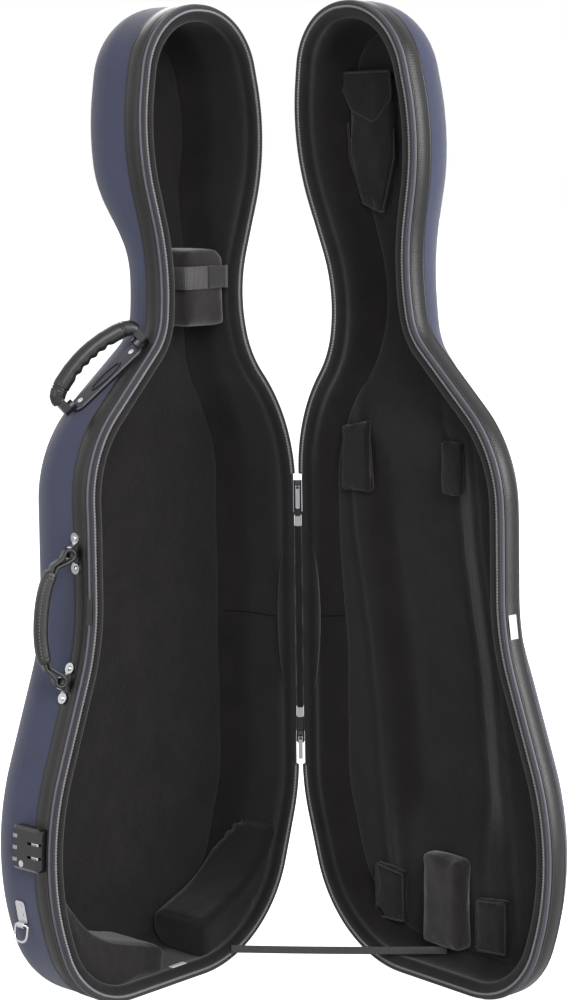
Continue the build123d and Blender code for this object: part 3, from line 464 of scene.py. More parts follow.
def make_materials():
    """Makes every finish. Each comment says how the real one is made and what that gives the eye."""
    colour = settings()

    # Nylon twill glued over the shell: a dry cloth with a slight bloom. Its ribs, about 0.5 mm in the
    # cloth, are drawn 1.8 mm apart so that they show.
    MATERIALS["navy_cloth"] = finish("nylon_twill", colour.twill_hex, 0.45, {
        "slant": (WAVES, {"bands_direction": "DIAGONAL"},
                  {"Scale": ribs(1.8), "Distortion": 0.6, "Detail": 1.0}),
        "level": (WAVES, {"bands_direction": "Z"}, {"Scale": ribs(1.8), "Distortion": 0.4, "Detail": 1.0}),
        "weave": (MATH, {"operation": "ADD"}, {0: "slant", 1: "level"}),
        "cloud": (NOISE, {}, {"Scale": grain(60.0), **MILD}),
        "fine": (NOISE, {}, {"Scale": grain(1.5), "Detail": 2.0, "Roughness": 0.6}),
        "shade": (MATH, {"operation": "MULTIPLY"}, {0: "cloud", 1: "fine"}),
    }, "shade", (("weave", 0.10), ("fine", 0.15)), {"Roughness": 0.82, "Sheen Weight": 0.3})

    # Brushed polyester plush: short pile that scatters light at its edges and shows lint and nap
    # The paler plush is the lining plush in a lighter colour with more sheen: painted light on raised padding
    # and a painted highlight on sewn edges.
    for key, name, code, sheen in (
            ("plush", "brushed_plush", colour.plush_hex, 0.22), ("plush_pale_painted_light", "plush_painted_light", "#2b2626", 0.4),
            # The seam tone is near-black: painted shade in the crease of the wall's join.
            ("spine_black", "spine_cloth", "#232021", 0.22), ("seam", "seam_shadow", "#0d0b0b", 0.05)):
        MATERIALS[key] = finish(name, code, 0.85, {
            "nap": (NOISE, {}, {"Scale": grain(45.0), "Detail": 4.0, "Roughness": 0.6}),
            "lint": (NOISE, {}, {"Scale": grain(2.2), "Detail": 4.0, "Roughness": 0.75}),
            "shade": (MATH, {"operation": "MULTIPLY"}, {0: "nap", 1: "lint"}),
        }, "shade", (("lint", 0.55), ("nap", 1.2)),
            {"Roughness": 0.95, "Sheen Weight": sheen, "Specular IOR Level": 0.25})

    # Coated grosgrain edge band: dense cross ribs, drawn 2 mm apart, under a half-gloss coat
    MATERIALS["black_band"] = finish("coated_grosgrain", colour.band_hex, 0.15, {
        "ribs": (WAVES, ACROSS, {"Scale": ribs(2.0), "Distortion": 0.3, "Detail": 1.0}),
    }, "ribs", (("ribs", 0.12), ), {"Roughness": 0.36}, uv=True)

    # Extruded vinyl piping: smooth and half gloss, with faint scuffs
    MATERIALS["grey_piping"] = finish("vinyl_piping", colour.piping_hex, 0.15, {
        "scuff": (NOISE, {}, {"Scale": grain(8.0), **MILD}),
    }, "scuff", (("scuff", 0.1), ), {"Roughness": 0.45})

    # Nylon zip coil: hard satin monofilament
    MATERIALS["zip_coil"] = finish("nylon_coil", colour.tooth_hex, 0.2, {
        "streak": (NOISE, {}, {"Scale": grain(3.0), **MILD}),
    }, "streak", (), {"Roughness": 0.38}, uv=True)

    # Woven polyester zip tape: fine cross ribs and a dull face
    MATERIALS["zip_cloth"] = finish("zip_cloth", "#242325", 0.3, {
        "ribs": (WAVES, ACROSS, {"Scale": ribs(1.6), "Distortion": 0.2, "Detail": 1.0}),
    }, "ribs", (("ribs", 0.15), ), {"Roughness": 0.8, "Sheen Weight": 0.2}, uv=True)

    # Polypropylene webbing: cross ribs 2.4 mm apart with a slight shine on each
    for name, code in (("webbing", "#4c494a"), ("thread", "#77757a")):
        MATERIALS[name] = finish(name, code, 0.35, {
            "ribs": (WAVES, ACROSS, {"Scale": ribs(2.4), "Distortion": 0.4, "Detail": 1.0}),
            "rows": (WAVES, {"bands_direction": "Y"}, {"Scale": ribs(1.8), "Distortion": 0.6, "Detail": 1.0}),
            "shade": (MATH, {"operation": "MULTIPLY"}, {0: "ribs", 1: "rows"}),
        }, "shade", (("ribs", 0.5), ("rows", 0.25)), {"Roughness": 0.7, "Sheen Weight": 0.2}, uv=True)

    # Hook-and-loop tape: a dull mat of loops
    MATERIALS["hook_tape"] = finish("hook_cloth", "#262324", 0.4, {
        "loops": (CELLS, {}, {"Scale": grain(1.6)}),
    }, "loops", (("loops", 0.5), ), {"Roughness": 0.95, "Sheen Weight": 0.3})

    # Satin-woven label cloth: smooth and slightly shiny, left blank
    for name, code in (("label_cloth", "#d6d6d4"), ("tag_cloth", "#1f1f21")):
        MATERIALS[name] = finish(name, code, 0.08, {
            "weave": (NOISE, {}, {"Scale": grain(1.2), **MILD}),
        }, "weave", (("weave", 0.08), ), {"Roughness": 0.55, "Sheen Weight": 0.2})

    # Bonded leather: rounded grain about 1.6 mm across, with a waxed half gloss
    MATERIALS["leather"] = finish("grained_leather", colour.leather_hex, 0.5, {
        "grain": (CELLS, {"feature": "SMOOTH_F1"}, {"Scale": grain(1.6), "Smoothness": 0.6}),
        "wear": (NOISE, {}, {"Scale": grain(22.0), **MILD}),
    }, "wear", (("grain", 0.22), ), {"Roughness": 0.42, "Coat Weight": 0.1})

    # Injection-moulded thermoplastic rubber: an even spark-eroded texture and a soft shine
    MATERIALS["black_grip"] = finish("moulded_rubber", colour.rubber_hex, 0.3, {
        "grit": (NOISE, {}, {"Scale": grain(0.9), "Detail": 2.0, "Roughness": 0.6}),
        "cloud": (NOISE, {}, {"Scale": grain(18.0), **MILD}),
    }, "cloud", (("grit", 0.06), ), {"Roughness": 0.36})

    # Die-cast zinc with a satin plate, and plain steel: slight tumbling marks
    for key, name, code, rough in (("satin_metal", "satin_zinc", "#4a4a4f", 0.36),
                                   ("steel", "plain_steel", "#a2a2a6", 0.3)):
        MATERIALS[key] = finish(name, code, 0.14, {
            "marks": (NOISE, {}, {"Scale": grain(3.0), "Detail": 4.0, "Roughness": 0.6}),
        }, "marks", (("marks", 0.04), ), {"Roughness": rough, "Metallic": 1.0})

    # Polished chrome plate: a mirror with faint finger haze
    MATERIALS["chrome"] = finish("chrome_plate", "#d3d3d6", 0.08, {
        "haze": (NOISE, {}, {"Scale": grain(6.0), **MILD}),
    }, "haze", (("haze", 0.02), ), {"Roughness": 0.12, "Metallic": 1.0})

    # Polished ABS: clear gloss with fine handling scratches
    MATERIALS["lock_black"] = finish("lock_plastic", "#101011", 0.12, {
        "scratch": (WAVES, {"bands_direction": "DIAGONAL"},
                    {"Scale": ribs(1.4), "Distortion": 6.0, "Detail": 1.0}),
        "cloud": (NOISE, {}, {"Scale": grain(12.0), **MILD}),
    }, "cloud", (("scratch", 0.015), ), {"Roughness": 0.2, "Coat Weight": 0.4})


def dress(piece, slot, material=None):
    """Gives a piece its finish."""
    piece.data.materials.clear()
    piece.data.materials.append(MATERIALS[material or slot])


def fit(piece, body, slot, *nodes, tone=None):
    """Finishes a piece, puts it on its body and hides the nodes it stands for."""
    dress(piece, slot, tone)
    if nodes:
        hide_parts(*nodes)
    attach(piece, body)


# What a user can set

def colour_setting(name, part, code):
    return bpy.props.StringProperty(name=name, description="Colour of the " + part, default=code)


def pitch_setting(name, parts, size):
    return bpy.props.FloatProperty(
        name=name, description="Distance between " + parts, default=size * MM, unit="LENGTH")


class CelloCaseSettings(bpy.types.PropertyGroup):
    """Sizes and colours of the case."""
    twill_hex: colour_setting("Cloth", "outer cloth", "#343a58")
    band_hex: colour_setting("Band", "edge band", "#0f0e0f")
    piping_hex: colour_setting("Piping", "piping", "#55555a")
    tooth_hex: colour_setting("Zip", "zip's teeth", "#7d7a80")
    plush_hex: colour_setting("Lining", "lining", "#1e1a1b")
    leather_hex: colour_setting("Leather", "side handle", "#1d1c1d")
    rubber_hex: colour_setting("Handle", "carrying handle", "#1a1a1b")
    tooth_pitch: pitch_setting("Tooth pitch", "the zip's teeth", 4.2)
    finger_pitch: pitch_setting("Finger pitch", "the handle's finger hollows", 15.5)
    stitch_pitch: pitch_setting("Stitch pitch", "stitches", 4.4)


def settings():
    return bpy.context.scene.cello_case


# Pieces

def on_span(first, last, count):
    return [first + (last - first) * k / (count - 1) for k in range(count)]


class CELLO_OT_trim(bpy.types.Operator):
    """Adds the edge bands, piping, zip tapes and teeth round both rims"""
    bl_idname = "cello.trim"
    bl_label = "Edge trim and zip"

    BAND = [(7.1, 36.2), (7.7, 36.0), (7.95, 35.2), (7.95, 33.6), (7.65, 33.1), (7.95, 32.6), (8.05, 23),
            (7.95, 13.4), (7.65, 12.9), (7.95, 12.4), (7.95, 10.8), (7.7, 10.0), (7.1, 9.8)]
    TAPE = [(-2.6, 3.9), (-2.6, 3.5), (1.7, 3.5), (1.8, 1.3), (2.3, 1.0), (5.6, 1.0), (6.1, 1.4), (6.1, 3.9)]

    def execute(self, context):
        pitch = settings().tooth_pitch / MM
        for prefix, half in HALVES:
            band = along_rim(prefix + ".band", half, self.BAND, 8.0)
            cord = [(6.5 + 1.95 * math.cos(a), 7.1 + 1.95 * math.sin(a))
                    for a in on_span(0, 2 * math.pi, 11)[:-1]]
            piping = along_rim(prefix + ".piping", half, cord, 8.0, RUN_LOW, RUN_HIGH)
            tape = along_rim(prefix + ".zip_tape", half, self.TAPE, 8.0, RUN_LOW, RUN_HIGH)
            reach = (RUN_HIGH - RUN_LOW) % ZIP.length
            columns = 2 * round(reach / pitch)

            def tooth(i, j):
                small = 0.45 if i % 2 else 1.0
                angle = 2 * math.pi * j / 6
                out = 2.3 * math.cos(angle) * small
                depth = 2.0 + 1.6 * math.sin(angle) * small
                return rim_point(half, RUN_LOW + reach * i / columns, out, depth)

            teeth = swept(prefix + ".zip_teeth", columns, 6, tooth, lambda i, j: (i * pitch / 2 * MM, j * MM))
            for polygon in teeth.data.polygons:
                polygon.use_smooth = False
            for piece, node, slot in ((band, "_trim_band", "black_band"), (piping, "_piping", "grey_piping"),
                                      (tape, "_zip_tape", "zip_cloth"), (teeth, "_zip_teeth", "zip_coil")):
                fit(piece, prefix, slot, prefix + node)
        return {"FINISHED"}


def wall_section(half, z):
    """The lining's section from the rim's roll down to the floor, as (out, depth) points."""
    back = half.depth(z)
    inner = half.corner - LINING_SKIN
    flat = back - LINING_SKIN
    points = [(-2.0, 3.6), (-2.0, 2.0), (-3.4, 1.4), (-7.0, 1.3), (-11.0, 1.7), (-13.6, 3.2), (-14.8, 6.0),
              (-14.9, 9.0), (-14.0, 12.0)]
    first, last = 14.0, back - FLOOR_SKIN + 3.6
    for k in range(1, 15):
        depth = first + (last - first) * k / 14
        into = max(0.0, depth - (flat - inner))
        curve = inner - math.sqrt(max(0.0, inner ** 2 - min(into, inner) ** 2))
        roll = 4.6 * math.exp(-(depth - first) / 5.0)
        points.append((-LINING_IN - curve - roll, depth))
    return points


class CELLO_OT_lining(bpy.types.Operator):
    """Adds the plush walls with their rolled edge, and the floors"""
    bl_idname = "cello.lining"
    bl_label = "Lining"

    def execute(self, context):
        for prefix, half in HALVES:
            columns = round(ZIP.length / 9.0)
            runs = [ZIP.length * i / columns for i in range(columns)]
            sections = [wall_section(half, foot_height(run)) for run in runs]
            rows = len(sections[0])

            def where(i, j):
                run = runs[i % columns]
                out, depth = sections[i % columns][min(j, rows - 1)]
                spot = rim_point(half, run, out, depth)
                if j > 8:
                    share = math.sin(math.pi * (j - 8) / (rows - 9))
                    spot += (noise.noise(spot / (70 * MM)) * 1.3 * share) * MM * wall_in(half, run)
                return spot

            def measure(i, j):
                return (ZIP.length * i / columns * MM, j * 6 * MM)

            wall = swept(prefix + ".wall_lining", columns, rows - 1, where, measure, capped=False)
            thicken(wall, "cloth and foam", 1.6, self.outward(wall, half))
            fit(wall, prefix, "plush", prefix + "_lining", prefix + "_rim_roll")
            floor = self.floor(prefix, half)
            fit(floor, prefix, "plush", prefix + "_floor")
            self.seam(prefix, half)
            fit(self.gusset(prefix, half), prefix, "plush")
        return {"FINISHED"}

    @staticmethod
    def floor(prefix, half):
        """The padded sheet on the back: rows of points across it, tucked under the wall all round."""
        edge = []
        for k in range(EDGE_POINTS):
            spot, normal = station(ZIP.length * k / EDGE_POINTS)
            edge.append(spot + normal * floor_edge(half))
        near = KDTree(len(edge))
        for k, point in enumerate(edge):
            near.insert((point.x, point.y, 0), k)
        near.balance()
        lowest, highest = min(p.y for p in edge) + 0.01, max(p.y for p in edge) - 0.01
        columns, rows = FLOOR_GRID

        def spot(i, j):
            z = (lowest + highest) / 2 - (highest - lowest) / 2 * math.cos(math.pi * j / rows)
            left, right = sides(z, edge)
            return Vector((left + (right - left) * (1 - math.cos(math.pi * i / columns)) / 2, z))

        def where(i, j):
            at = spot(i, j)
            inside = near.find((at.x, at.y, 0))[2]
            tuck = FLOOR_TUCK * math.exp(-inside / 2.5)
            nap = noise.noise(Vector((at.x, at.y, half.corner)) / 60) * 0.8
            sink = floor_sink(half, at.x, at.y)
            return half.place(at.x, at.y, half.depth(at.y) - FLOOR_SKIN + sink + tuck + nap)

        def measure(i, j):
            return tuple(spot(i, j) * MM)

        sheet = swept(prefix + ".floor_pad", columns, rows, where, measure, capped=False)
        thicken(sheet, "foam", 3.0, CELLO_OT_lining.outward(sheet, half))
        apply_modifiers(sheet)
        return sheet

    @staticmethod
    def outward(wall, half):
        """Solidify's offset away from the room in the case, whichever way the wall's normals point."""
        centre = half.place(220, 500, 60)
        total = 0.0
        for polygon in list(wall.data.polygons)[::37]:
            total += polygon.normal.dot(centre - polygon.center)
        return -1.0 if total > 0 else 1.0

    @staticmethod
    def gusset(prefix, half):
        """The cloth that covers the gap beside the hinge and spreads over the wall behind its spine."""
        columns, rows = 90, 12
        profile = Line([Vector(p) for p in GUSSET])

        def where(i, j):
            z = REBATE_LOW + (REBATE_HIGH - REBATE_LOW) * i / columns
            share = min(max((z - GUSSET_LOW) / (GUSSET_HIGH - GUSSET_LOW), 0.0), 1.0)
            reach = 12.0 + 27.0 * math.sin(math.pi * share) ** 1.3
            inner = next((clear for low, high, clear in CLEARANCES if low <= z <= high), BLOCK_CLEAR)
            at = profile.at(reach * j / rows)
            return half.place(max(at.x, inner), z, at.y)

        def measure(i, j):
            return (i * 5 * MM, j * 3 * MM)

        sheet = swept(prefix + ".hinge_gusset", columns, rows, where, measure, capped=False)
        thicken(sheet, "cloth", 0.7, 0.0)
        apply_modifiers(sheet)
        return sheet

    @staticmethod
    def seam(prefix, half):
        """The join in the wall's cloth on the hinge side, drawn as a thin cord in a near-black tone, which is
        painted shade in the join.
        """
        run = run_at(SEAM_HEIGHT, False)
        section = wall_section(half, SEAM_HEIGHT)[10:-1]
        path = [rim_point(half, run, out + 0.2, depth) / MM for out, depth in section]
        # The cord's near-black seam tone is painted shade.
        fit(tube(prefix + ".wall_seam_0", path, 0.9, sides=8, spacing=4.0), prefix, "plush", tone="seam")


# (u, depth) from beside the spine over the roll and down the wall
GUSSET = [(5.2, 1.9), (8.0, 0.85), (19.0, 0.85), (23.0, 2.2), (24.6, 6.0), (24.6, 11.0), (23.4, 16.0),
          (20.0, 24.0), (18.4, 34.0)]
GUSSET_LOW = 330.0
GUSSET_HIGH = 624.0
BLOCK_CLEAR = 6.3
# (low, high, distance from the hinge) where the zip's sliders and pulls, or its bars, pass
CLEARANCES = ((262.0, 313.0, 10.4), (313.0, 331.0, 5.2), (622.0, 628.0, 5.2), (628.0, 682.0, 10.4))
FLOOR_TUCK = 3.0        # how far the floor's edge dips under the wall
FLOOR_GRID = (64, 170)  # points across the floor and up it
EDGE_POINTS = 700
SEAM_HEIGHT = 476


def foot_height(run):
    """Height at which the wall's section at a run meets the floor."""
    spot, normal = station(run)
    return spot.y - normal.y * 32


def floor_edge(half):
    """How far in from the zip line the floor's edge lies."""
    inner = half.corner - LINING_SKIN
    into = inner - (FLOOR_SKIN - LINING_SKIN)
    return -(LINING_IN + inner - math.sqrt(inner ** 2 - into ** 2)) + 3.5


def sides(z, edge):
    """Where a closed line crosses a height, on the left and on the right."""
    crossings = []
    for a, b in zip(edge, edge[1:] + edge[:1]):
        if (a.y - z) * (b.y - z) <= 0 and a.y != b.y:
            crossings.append(a.x + (b.x - a.x) * (z - a.y) / (b.y - a.y))
    return min(crossings), max(crossings)


def swell(value, low, high, soft_edge):
    """1 between low and high, falling smoothly to 0 over soft_edge on both sides."""
    rise = min(max((value - low + soft_edge) / soft_edge, 0.0), 1.0)
    fall = min(max((high + soft_edge - value) / soft_edge, 0.0), 1.0)
    share = min(rise, fall)
    return share * share * (3 - 2 * share)


DOME_TILT = math.tan(math.radians(5.9))
LID_SEAMS = ((-128, 5.0, 2.2), (-96, 9.0, -3.5), (66, 4.0, 2.4), (118, 4.0, 2.4))   # offset, width and depth


def floor_sink(half, u, z):
    """How much deeper than the back's own line the floor lies: the channel for the bridge, in the lid."""
    if half is BASE:
        return 0.0
    centre = 240 - (z - 217) * DOME_TILT
    channel = swell(u - centre, -62, 62, 58.0) * swell(z, 262, 690, 90.0)
    seams = sum(height * math.exp(-((u - centre - offset) / width) ** 2)
                for offset, width, height in LID_SEAMS)
    return 21.0 * channel + seams * swell(z, 120, 760, 80.0)


def wall_in(half, run):
    """Direction from the wall into the case."""
    spot, normal = station(run)
    return -(half.across * normal.x + Vector((0, 0, normal.y)))


class CELLO_OT_padding(bpy.types.Operator):
    """Adds the padded corner blocks and the neck rest"""
    bl_idname = "cello.padding"
    bl_label = "Padding"

    def execute(self, context):
        for node in ("corner_block_hinge_side", "corner_block_free_side"):
            soft(node + ".plush", node, "base", voxel=4.0, shrink=0.2, ease=4, cap=1.5, ripple=0.8)
        # The neck rest takes the paler plush: its lighter colour is painted light on the raised rest.
        soft("neck_rest.plush", "neck_rest", "base", voxel=5.0, shrink=1.2, ease=2, cap=1.0, ripple=0.8,
             tone="plush_pale_painted_light")
        return {"FINISHED"}


STRAP_MIDDLE = 964.0
STRAP_WIDTH = 31.0
REST_FRONT = 26.0


class CELLO_OT_neck_strap(bpy.types.Operator):
    """Adds the webbing strap across the neck rest and its hook-and-loop tab"""
    bl_idname = "cello.neck_strap"
    bl_label = "Neck strap"

    def execute(self, context):
        up = Vector((0, 0, 1))
        strap_n = REST_FRONT - 1.2
        spots = [(190.0, 64), (190.3, 48), (190.4, 36), (190.2, 29), (189, 26), (186.5, 24.9), (182, strap_n),
                 (168, strap_n - 0.5), (150, strap_n - 0.3), (134, strap_n)]
        path = [BASE.flat(u, STRAP_MIDDLE, n) / MM for u, n in spots]
        strap = ribbon("neck_strap.webbing", path, up, STRAP_WIDTH, 1.5)
        fit(strap, "base", "webbing", "neck_strap")
        tab_n = REST_FRONT - 3.3
        spots = [(112.4, tab_n), (120, tab_n - 0.4), (132, tab_n - 0.9), (142, tab_n - 0.8),
                 (149, tab_n - 0.2)]
        path = [BASE.flat(u, STRAP_MIDDLE, n) / MM for u, n in spots]
        tab = ribbon("neck_tab.cloth", path, up, STRAP_WIDTH - 1, 1.5)
        fit(tab, "neck_tab", "hook_tape", "neck_strap_tab")
        binding = ribbon("neck_tab.binding", [p + Vector((0, -0.7, 0)) for p in path[:1]] +
                         [BASE.flat(117.5, STRAP_MIDDLE, tab_n - 1.0) / MM], up, STRAP_WIDTH, 1.0)
        fit(binding, "neck_tab", "webbing")
        return {"FINISHED"}


class CELLO_OT_lid_fittings(bpy.types.Operator):
    """Adds the pouch and its flap, the pockets, the bow holders and the pad in the lid"""
    bl_idname = "cello.lid_fittings"
    bl_label = "Lid fittings"

    # Sewn hems: name, body, lift off the floor, whether the line closes, and its corners (u, z, radius)
    HEMS = (
        ("pouch_flap.hem", "flap", 14.0, True,
         [(55, 1225, 4), (67, 1237, 4), (155, 1237, 4), (157, 1201, 14), (122, 1169, 17), (79, 1186, 15)]),
        ("pouch.hem", "lid", 11.6, False,
         [(66, 1170), (67, 1122), (92, 1060), (110, 1053), (131, 1048), (155, 1121), (157, 1160)]),
        ("bow_holder_left.hem", "lid", 9.0, True,
         [(56, 663, 3), (107, 663, 3), (107, 759, 3), (56, 749, 3)]),
        ("bow_holder_right.hem", "lid", 9.0, True,
         [(255, 675, 3), (287, 675, 3), (287, 742, 3), (255, 742, 3)]),
        ("pocket_left.hem", "lid", 12.0, True,
         [(107, 51, 3), (162, 55, 3), (162, 124, 3), (107, 127, 3)]),
        ("pocket_right.hem", "lid", 12.0, True,
         [(306, 48, 3), (360, 53, 3), (360, 125, 3), (306, 117, 3)]),
    )

    def execute(self, context):
        for node, body, voxel, cap, tone in (
                ("pouch", "lid", 2.6, 2.0, "plush"), ("pouch_flap", "flap", 1.2, 0.0, "plush"),
                ("pocket_left", "lid", 3.0, 3.0, "plush"), ("pocket_right", "lid", 3.0, 3.0, "plush"),
                ("bow_holder_left", "lid", 3.0, 2.0, "plush"), ("bow_holder_right", "lid", 3.0, 2.0, "plush"),
                # The lid pad takes the paler plush: its lighter colour is painted light on the raised pad.
                ("lid_pad", "lid", 5.0, 2.0, "plush_pale_painted_light")):
            soft(node + ".cloth", node, body, voxel, shrink=0.4, ease=3, cap=cap,
                 ripple=0.6 if voxel < 2 else 1.0, fold=24.0, tone=tone)
        for name, body, lift, closed, corners in self.HEMS:
            line = rounded(corners, 4.0) if closed else [Vector(c) for c in corners]
            path = [LID.place(p.x, p.y, LID.depth(p.y) - FLOOR_SKIN - lift + floor_sink(LID, p.x, p.y)) / MM
                    for p in line + line[:1] * closed]
            hem = tube(name, path, 1.3, sides=8, spacing=2.5, aside=Vector((1, 0, 0)))
            # The hems take the paler plush: their lighter colour is a painted highlight along the sewn edges.
            fit(hem, body, "plush", tone="plush_pale_painted_light")
        return {"FINISHED"}


# The carrying grip's own directions, from the two pivots on its plate
GRIP_ORIGIN = Vector((-309.325, 62.205, 842.45))
GRIP_ALONG = Vector((0.6717134, -0.348572, 0.6536808))
GRIP_ASIDE = Vector((0.473275, 0.880757, -0.0166716))
GRIP_OUT = Vector((-0.5699227, 0.3205693, 0.7565867))


class CELLO_OT_carrying_handle(bpy.types.Operator):
    """Adds the moulded carrying grip with its finger hollows"""
    bl_idname = "cello.carrying_handle"
    bl_label = "Carrying handle"

    def execute(self, context):
        rising = [(-69.3, 13.5), (-69.0, 17.5), (-66.5, 21.5), (-60, 25.5), (-48, 29.5), (-30, 33.5),
                  (-12, 35.6)]
        arch = rising + [(0, 36)] + [(-a, h) for a, h in reversed(rising)]
        path = [GRIP_ORIGIN + GRIP_ALONG * a + GRIP_OUT * h for a, h in arch]
        line = Line(path)
        middle = line.length / 2
        pitch = settings().finger_pitch / MM

        def size(run, angle):
            off = abs(run - middle)
            radius = 11.6 - 2.2 * max(0.0, (off - 52) / 26) ** 1.5
            for ring in (57.0, 60.5):
                if abs(off - ring) < 0.8:
                    radius -= 1.1
            under = max(0.0, -math.cos(angle)) ** 1.3
            if off < 2.5 * pitch:
                radius -= under * 2.4 * (0.5 + 0.5 * math.cos(2 * math.pi * (run - middle) / pitch))
            return radius

        grip = tube("carrying_grip.rubber", path, size, sides=24, spacing=0.8, aside=GRIP_ASIDE)
        fit(grip, "carrying_grip", "black_grip", "handle_grip")
        return {"FINISHED"}


# The side handle's own directions, from the middle between its two staples
SIDE_ORIGIN = Vector((-419.258, 31.0, 532.209))
SIDE_ALONG = Vector((0.1270507, 0.0, 0.9918962))
SIDE_ASIDE = Vector((0.4191935, 0.9063078, -0.0536939))
SIDE_OUT = Vector((-0.8989633, 0.4226183, 0.115147))
SIDE_SPAN = 165.6
SIDE_RISE = 30.0
PAD_HALF = 60.0


EYE_R = 7.1             # middle of the strap round the staple


def side_lift(along):
    """Height of the grip's middle line over the line between the staples."""
    return SIDE_RISE + 1.5 - 9.5 * abs(along / PAD_HALF) ** 2.3


def side_point(along, out, aside=0.0):
    return SIDE_ORIGIN + SIDE_ALONG * along + SIDE_OUT * out + SIDE_ASIDE * aside


class CELLO_OT_side_handle(bpy.types.Operator):
    """Adds the leather side handle: its padded grip, its straps round the staples and its stitching"""
    bl_idname = "cello.side_handle"
    bl_label = "Side handle"

    def execute(self, context):
        path = [side_point(a, side_lift(a)) for a in on_span(-PAD_HALF, PAD_HALF, 31)]
        line = Line(path)

        def width(run, angle):
            near_end = min(run, line.length - run)
            shape = (abs(math.cos(angle)) ** 2.6 + abs(math.sin(angle)) ** 2.6) ** (-1 / 2.6)
            drawn = 1.0 - 0.22 * math.exp(-near_end / 3.0)
            crease = 0.07 if abs(near_end - 7.0) < 0.9 else 0.0
            return 9.0 * shape * (drawn - crease)

        grip = tube("side_grip.leather", path, width, sides=28, spacing=1.0, aside=SIDE_ASIDE, widen=1.22)
        fit(grip, "side_handle", "leather", "side_grip")
        for end, name in ((-1, "low"), (1, "high")):
            eye = SIDE_SPAN / 2
            loop = [(PAD_HALF - 12, side_lift(PAD_HALF - 12) + 1.0),
                    (PAD_HALF - 1, side_lift(PAD_HALF) + 1.6),
                    (PAD_HALF + 8, side_lift(PAD_HALF + 8) + 2.0), (eye - 5.0, 9.0)]
            for k in range(10):
                angle = math.radians(95 - 28 * k)
                loop.append((eye + EYE_R * math.cos(angle), EYE_R * math.sin(angle)))
            loop += [(eye - 9, 0.4), (PAD_HALF + 6, side_lift(PAD_HALF + 6) - 4.6),
                     (PAD_HALF - 3, side_lift(PAD_HALF - 3) - 4.4),
                     (PAD_HALF - 12, side_lift(PAD_HALF - 12) - 3.6)]
            strap = ribbon("side_strap." + name, [side_point(end * a, h) for a, h in loop], SIDE_ASIDE,
                           17.0, 4.4, spacing=1.5, edge=0.9)
            fit(strap, "side_handle", "leather", *(["side_strap"] if end < 0 else []))
        self.stitches()
        return {"FINISHED"}

    @staticmethod
    def stitches():
        """Two rows of thread along the grip."""
        pitch = settings().stitch_pitch / MM
        bm = bmesh.new()
        count = int(2 * (PAD_HALF - 6) / pitch)
        for side in (-1, 1):
            for k in range(count):
                along = -PAD_HALF + 6 + (k + 0.5) * pitch
                made = bmesh.ops.create_uvsphere(bm, u_segments=6, v_segments=4, radius=1.0)
                spot = side_point(along, side_lift(along) + 4.8, side * 10.4) * MM
                turn = Matrix((SIDE_ALONG, SIDE_ASIDE, SIDE_OUT)).transposed().to_4x4()
                bmesh.ops.transform(bm, verts=made["verts"], matrix=Matrix.Translation(spot) @ turn
                                    @ Matrix.Diagonal((1.6 * MM, 0.7 * MM, 0.7 * MM, 1.0)))
        thread = new_piece("side_grip.stitching", bm)
        fit(thread, "side_handle", "leather", tone="thread")


class CELLO_OT_labels(bpy.types.Operator):
    """Adds the blank woven tag and the blank sewn labels"""
    bl_idname = "cello.labels"
    bl_label = "Labels"

    def execute(self, context):
        for node, body, slot in (("woven_tag", "base", "tag_cloth"), ("base_label", "base", "label_cloth"),
                                 ("lid_label", "lid", "label_cloth")):
            piece = from_node(node + ".cloth", node)
            bm = bmesh.new()
            bm.from_mesh(piece.data)
            bmesh.ops.dissolve_limit(bm, angle_limit=0.02, verts=bm.verts, edges=bm.edges)
            bmesh.ops.bevel(bm, geom=bm.edges[:], offset=0.25 * MM, segments=2, profile=0.5, affect="EDGES",
                            material=-1)
            bm.to_mesh(piece.data)
            bm.free()
            fit(piece, body, slot, node)
        return {"FINISHED"}


class CELLO_OT_check_strap(bpy.types.Operator):
    """Adds the webbing strap that stops the lid at full opening"""
    bl_idname = "cello.check_strap"
    bl_label = "Check strap"

    def execute(self, context):
        low = BASE.flat(150, 24, -0.4) / MM
        high = LID.flat(250, 34, -45.3) / MM
        path = [low.lerp(high, k / 30) - Vector((0, 0, 1.2 * math.sin(math.pi * k / 30))) for k in range(31)]
        strap = ribbon("check_strap.webbing", path, Vector((0, 0, 1)), 11.0, 1.5, spacing=3.0)
        dress(strap, "webbing")
        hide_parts("check_strap")
        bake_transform(strap)
        return {"FINISHED"}


SPINE_FACING = Vector((math.cos(math.radians(222)), math.sin(math.radians(222)), 0))
ZIP_STRIPS = ((294.0, 331.0), (622.0, 672.0))


class CELLO_OT_spine_cloth(bpy.types.Operator):
    """Adds the zip tape that closes the gap behind the bars above and below the hinge"""
    bl_idname = "cello.spine_cloth"
    bl_label = "Zip tape at the hinge"

    def execute(self, context):
        side = SPINE_FACING.cross(Vector((0, 0, 1)))
        for number, (low, high) in enumerate(ZIP_STRIPS):
            path = [SPINE_FACING * -3.2 + Vector((0, 0, z)) for z in on_span(low, high, 8)]
            strip = ribbon("spine.zip_cloth_" + str(number), path, side, 11.4, 0.9)
            fit(strip, "spine", "zip_cloth")
        return {"FINISHED"}


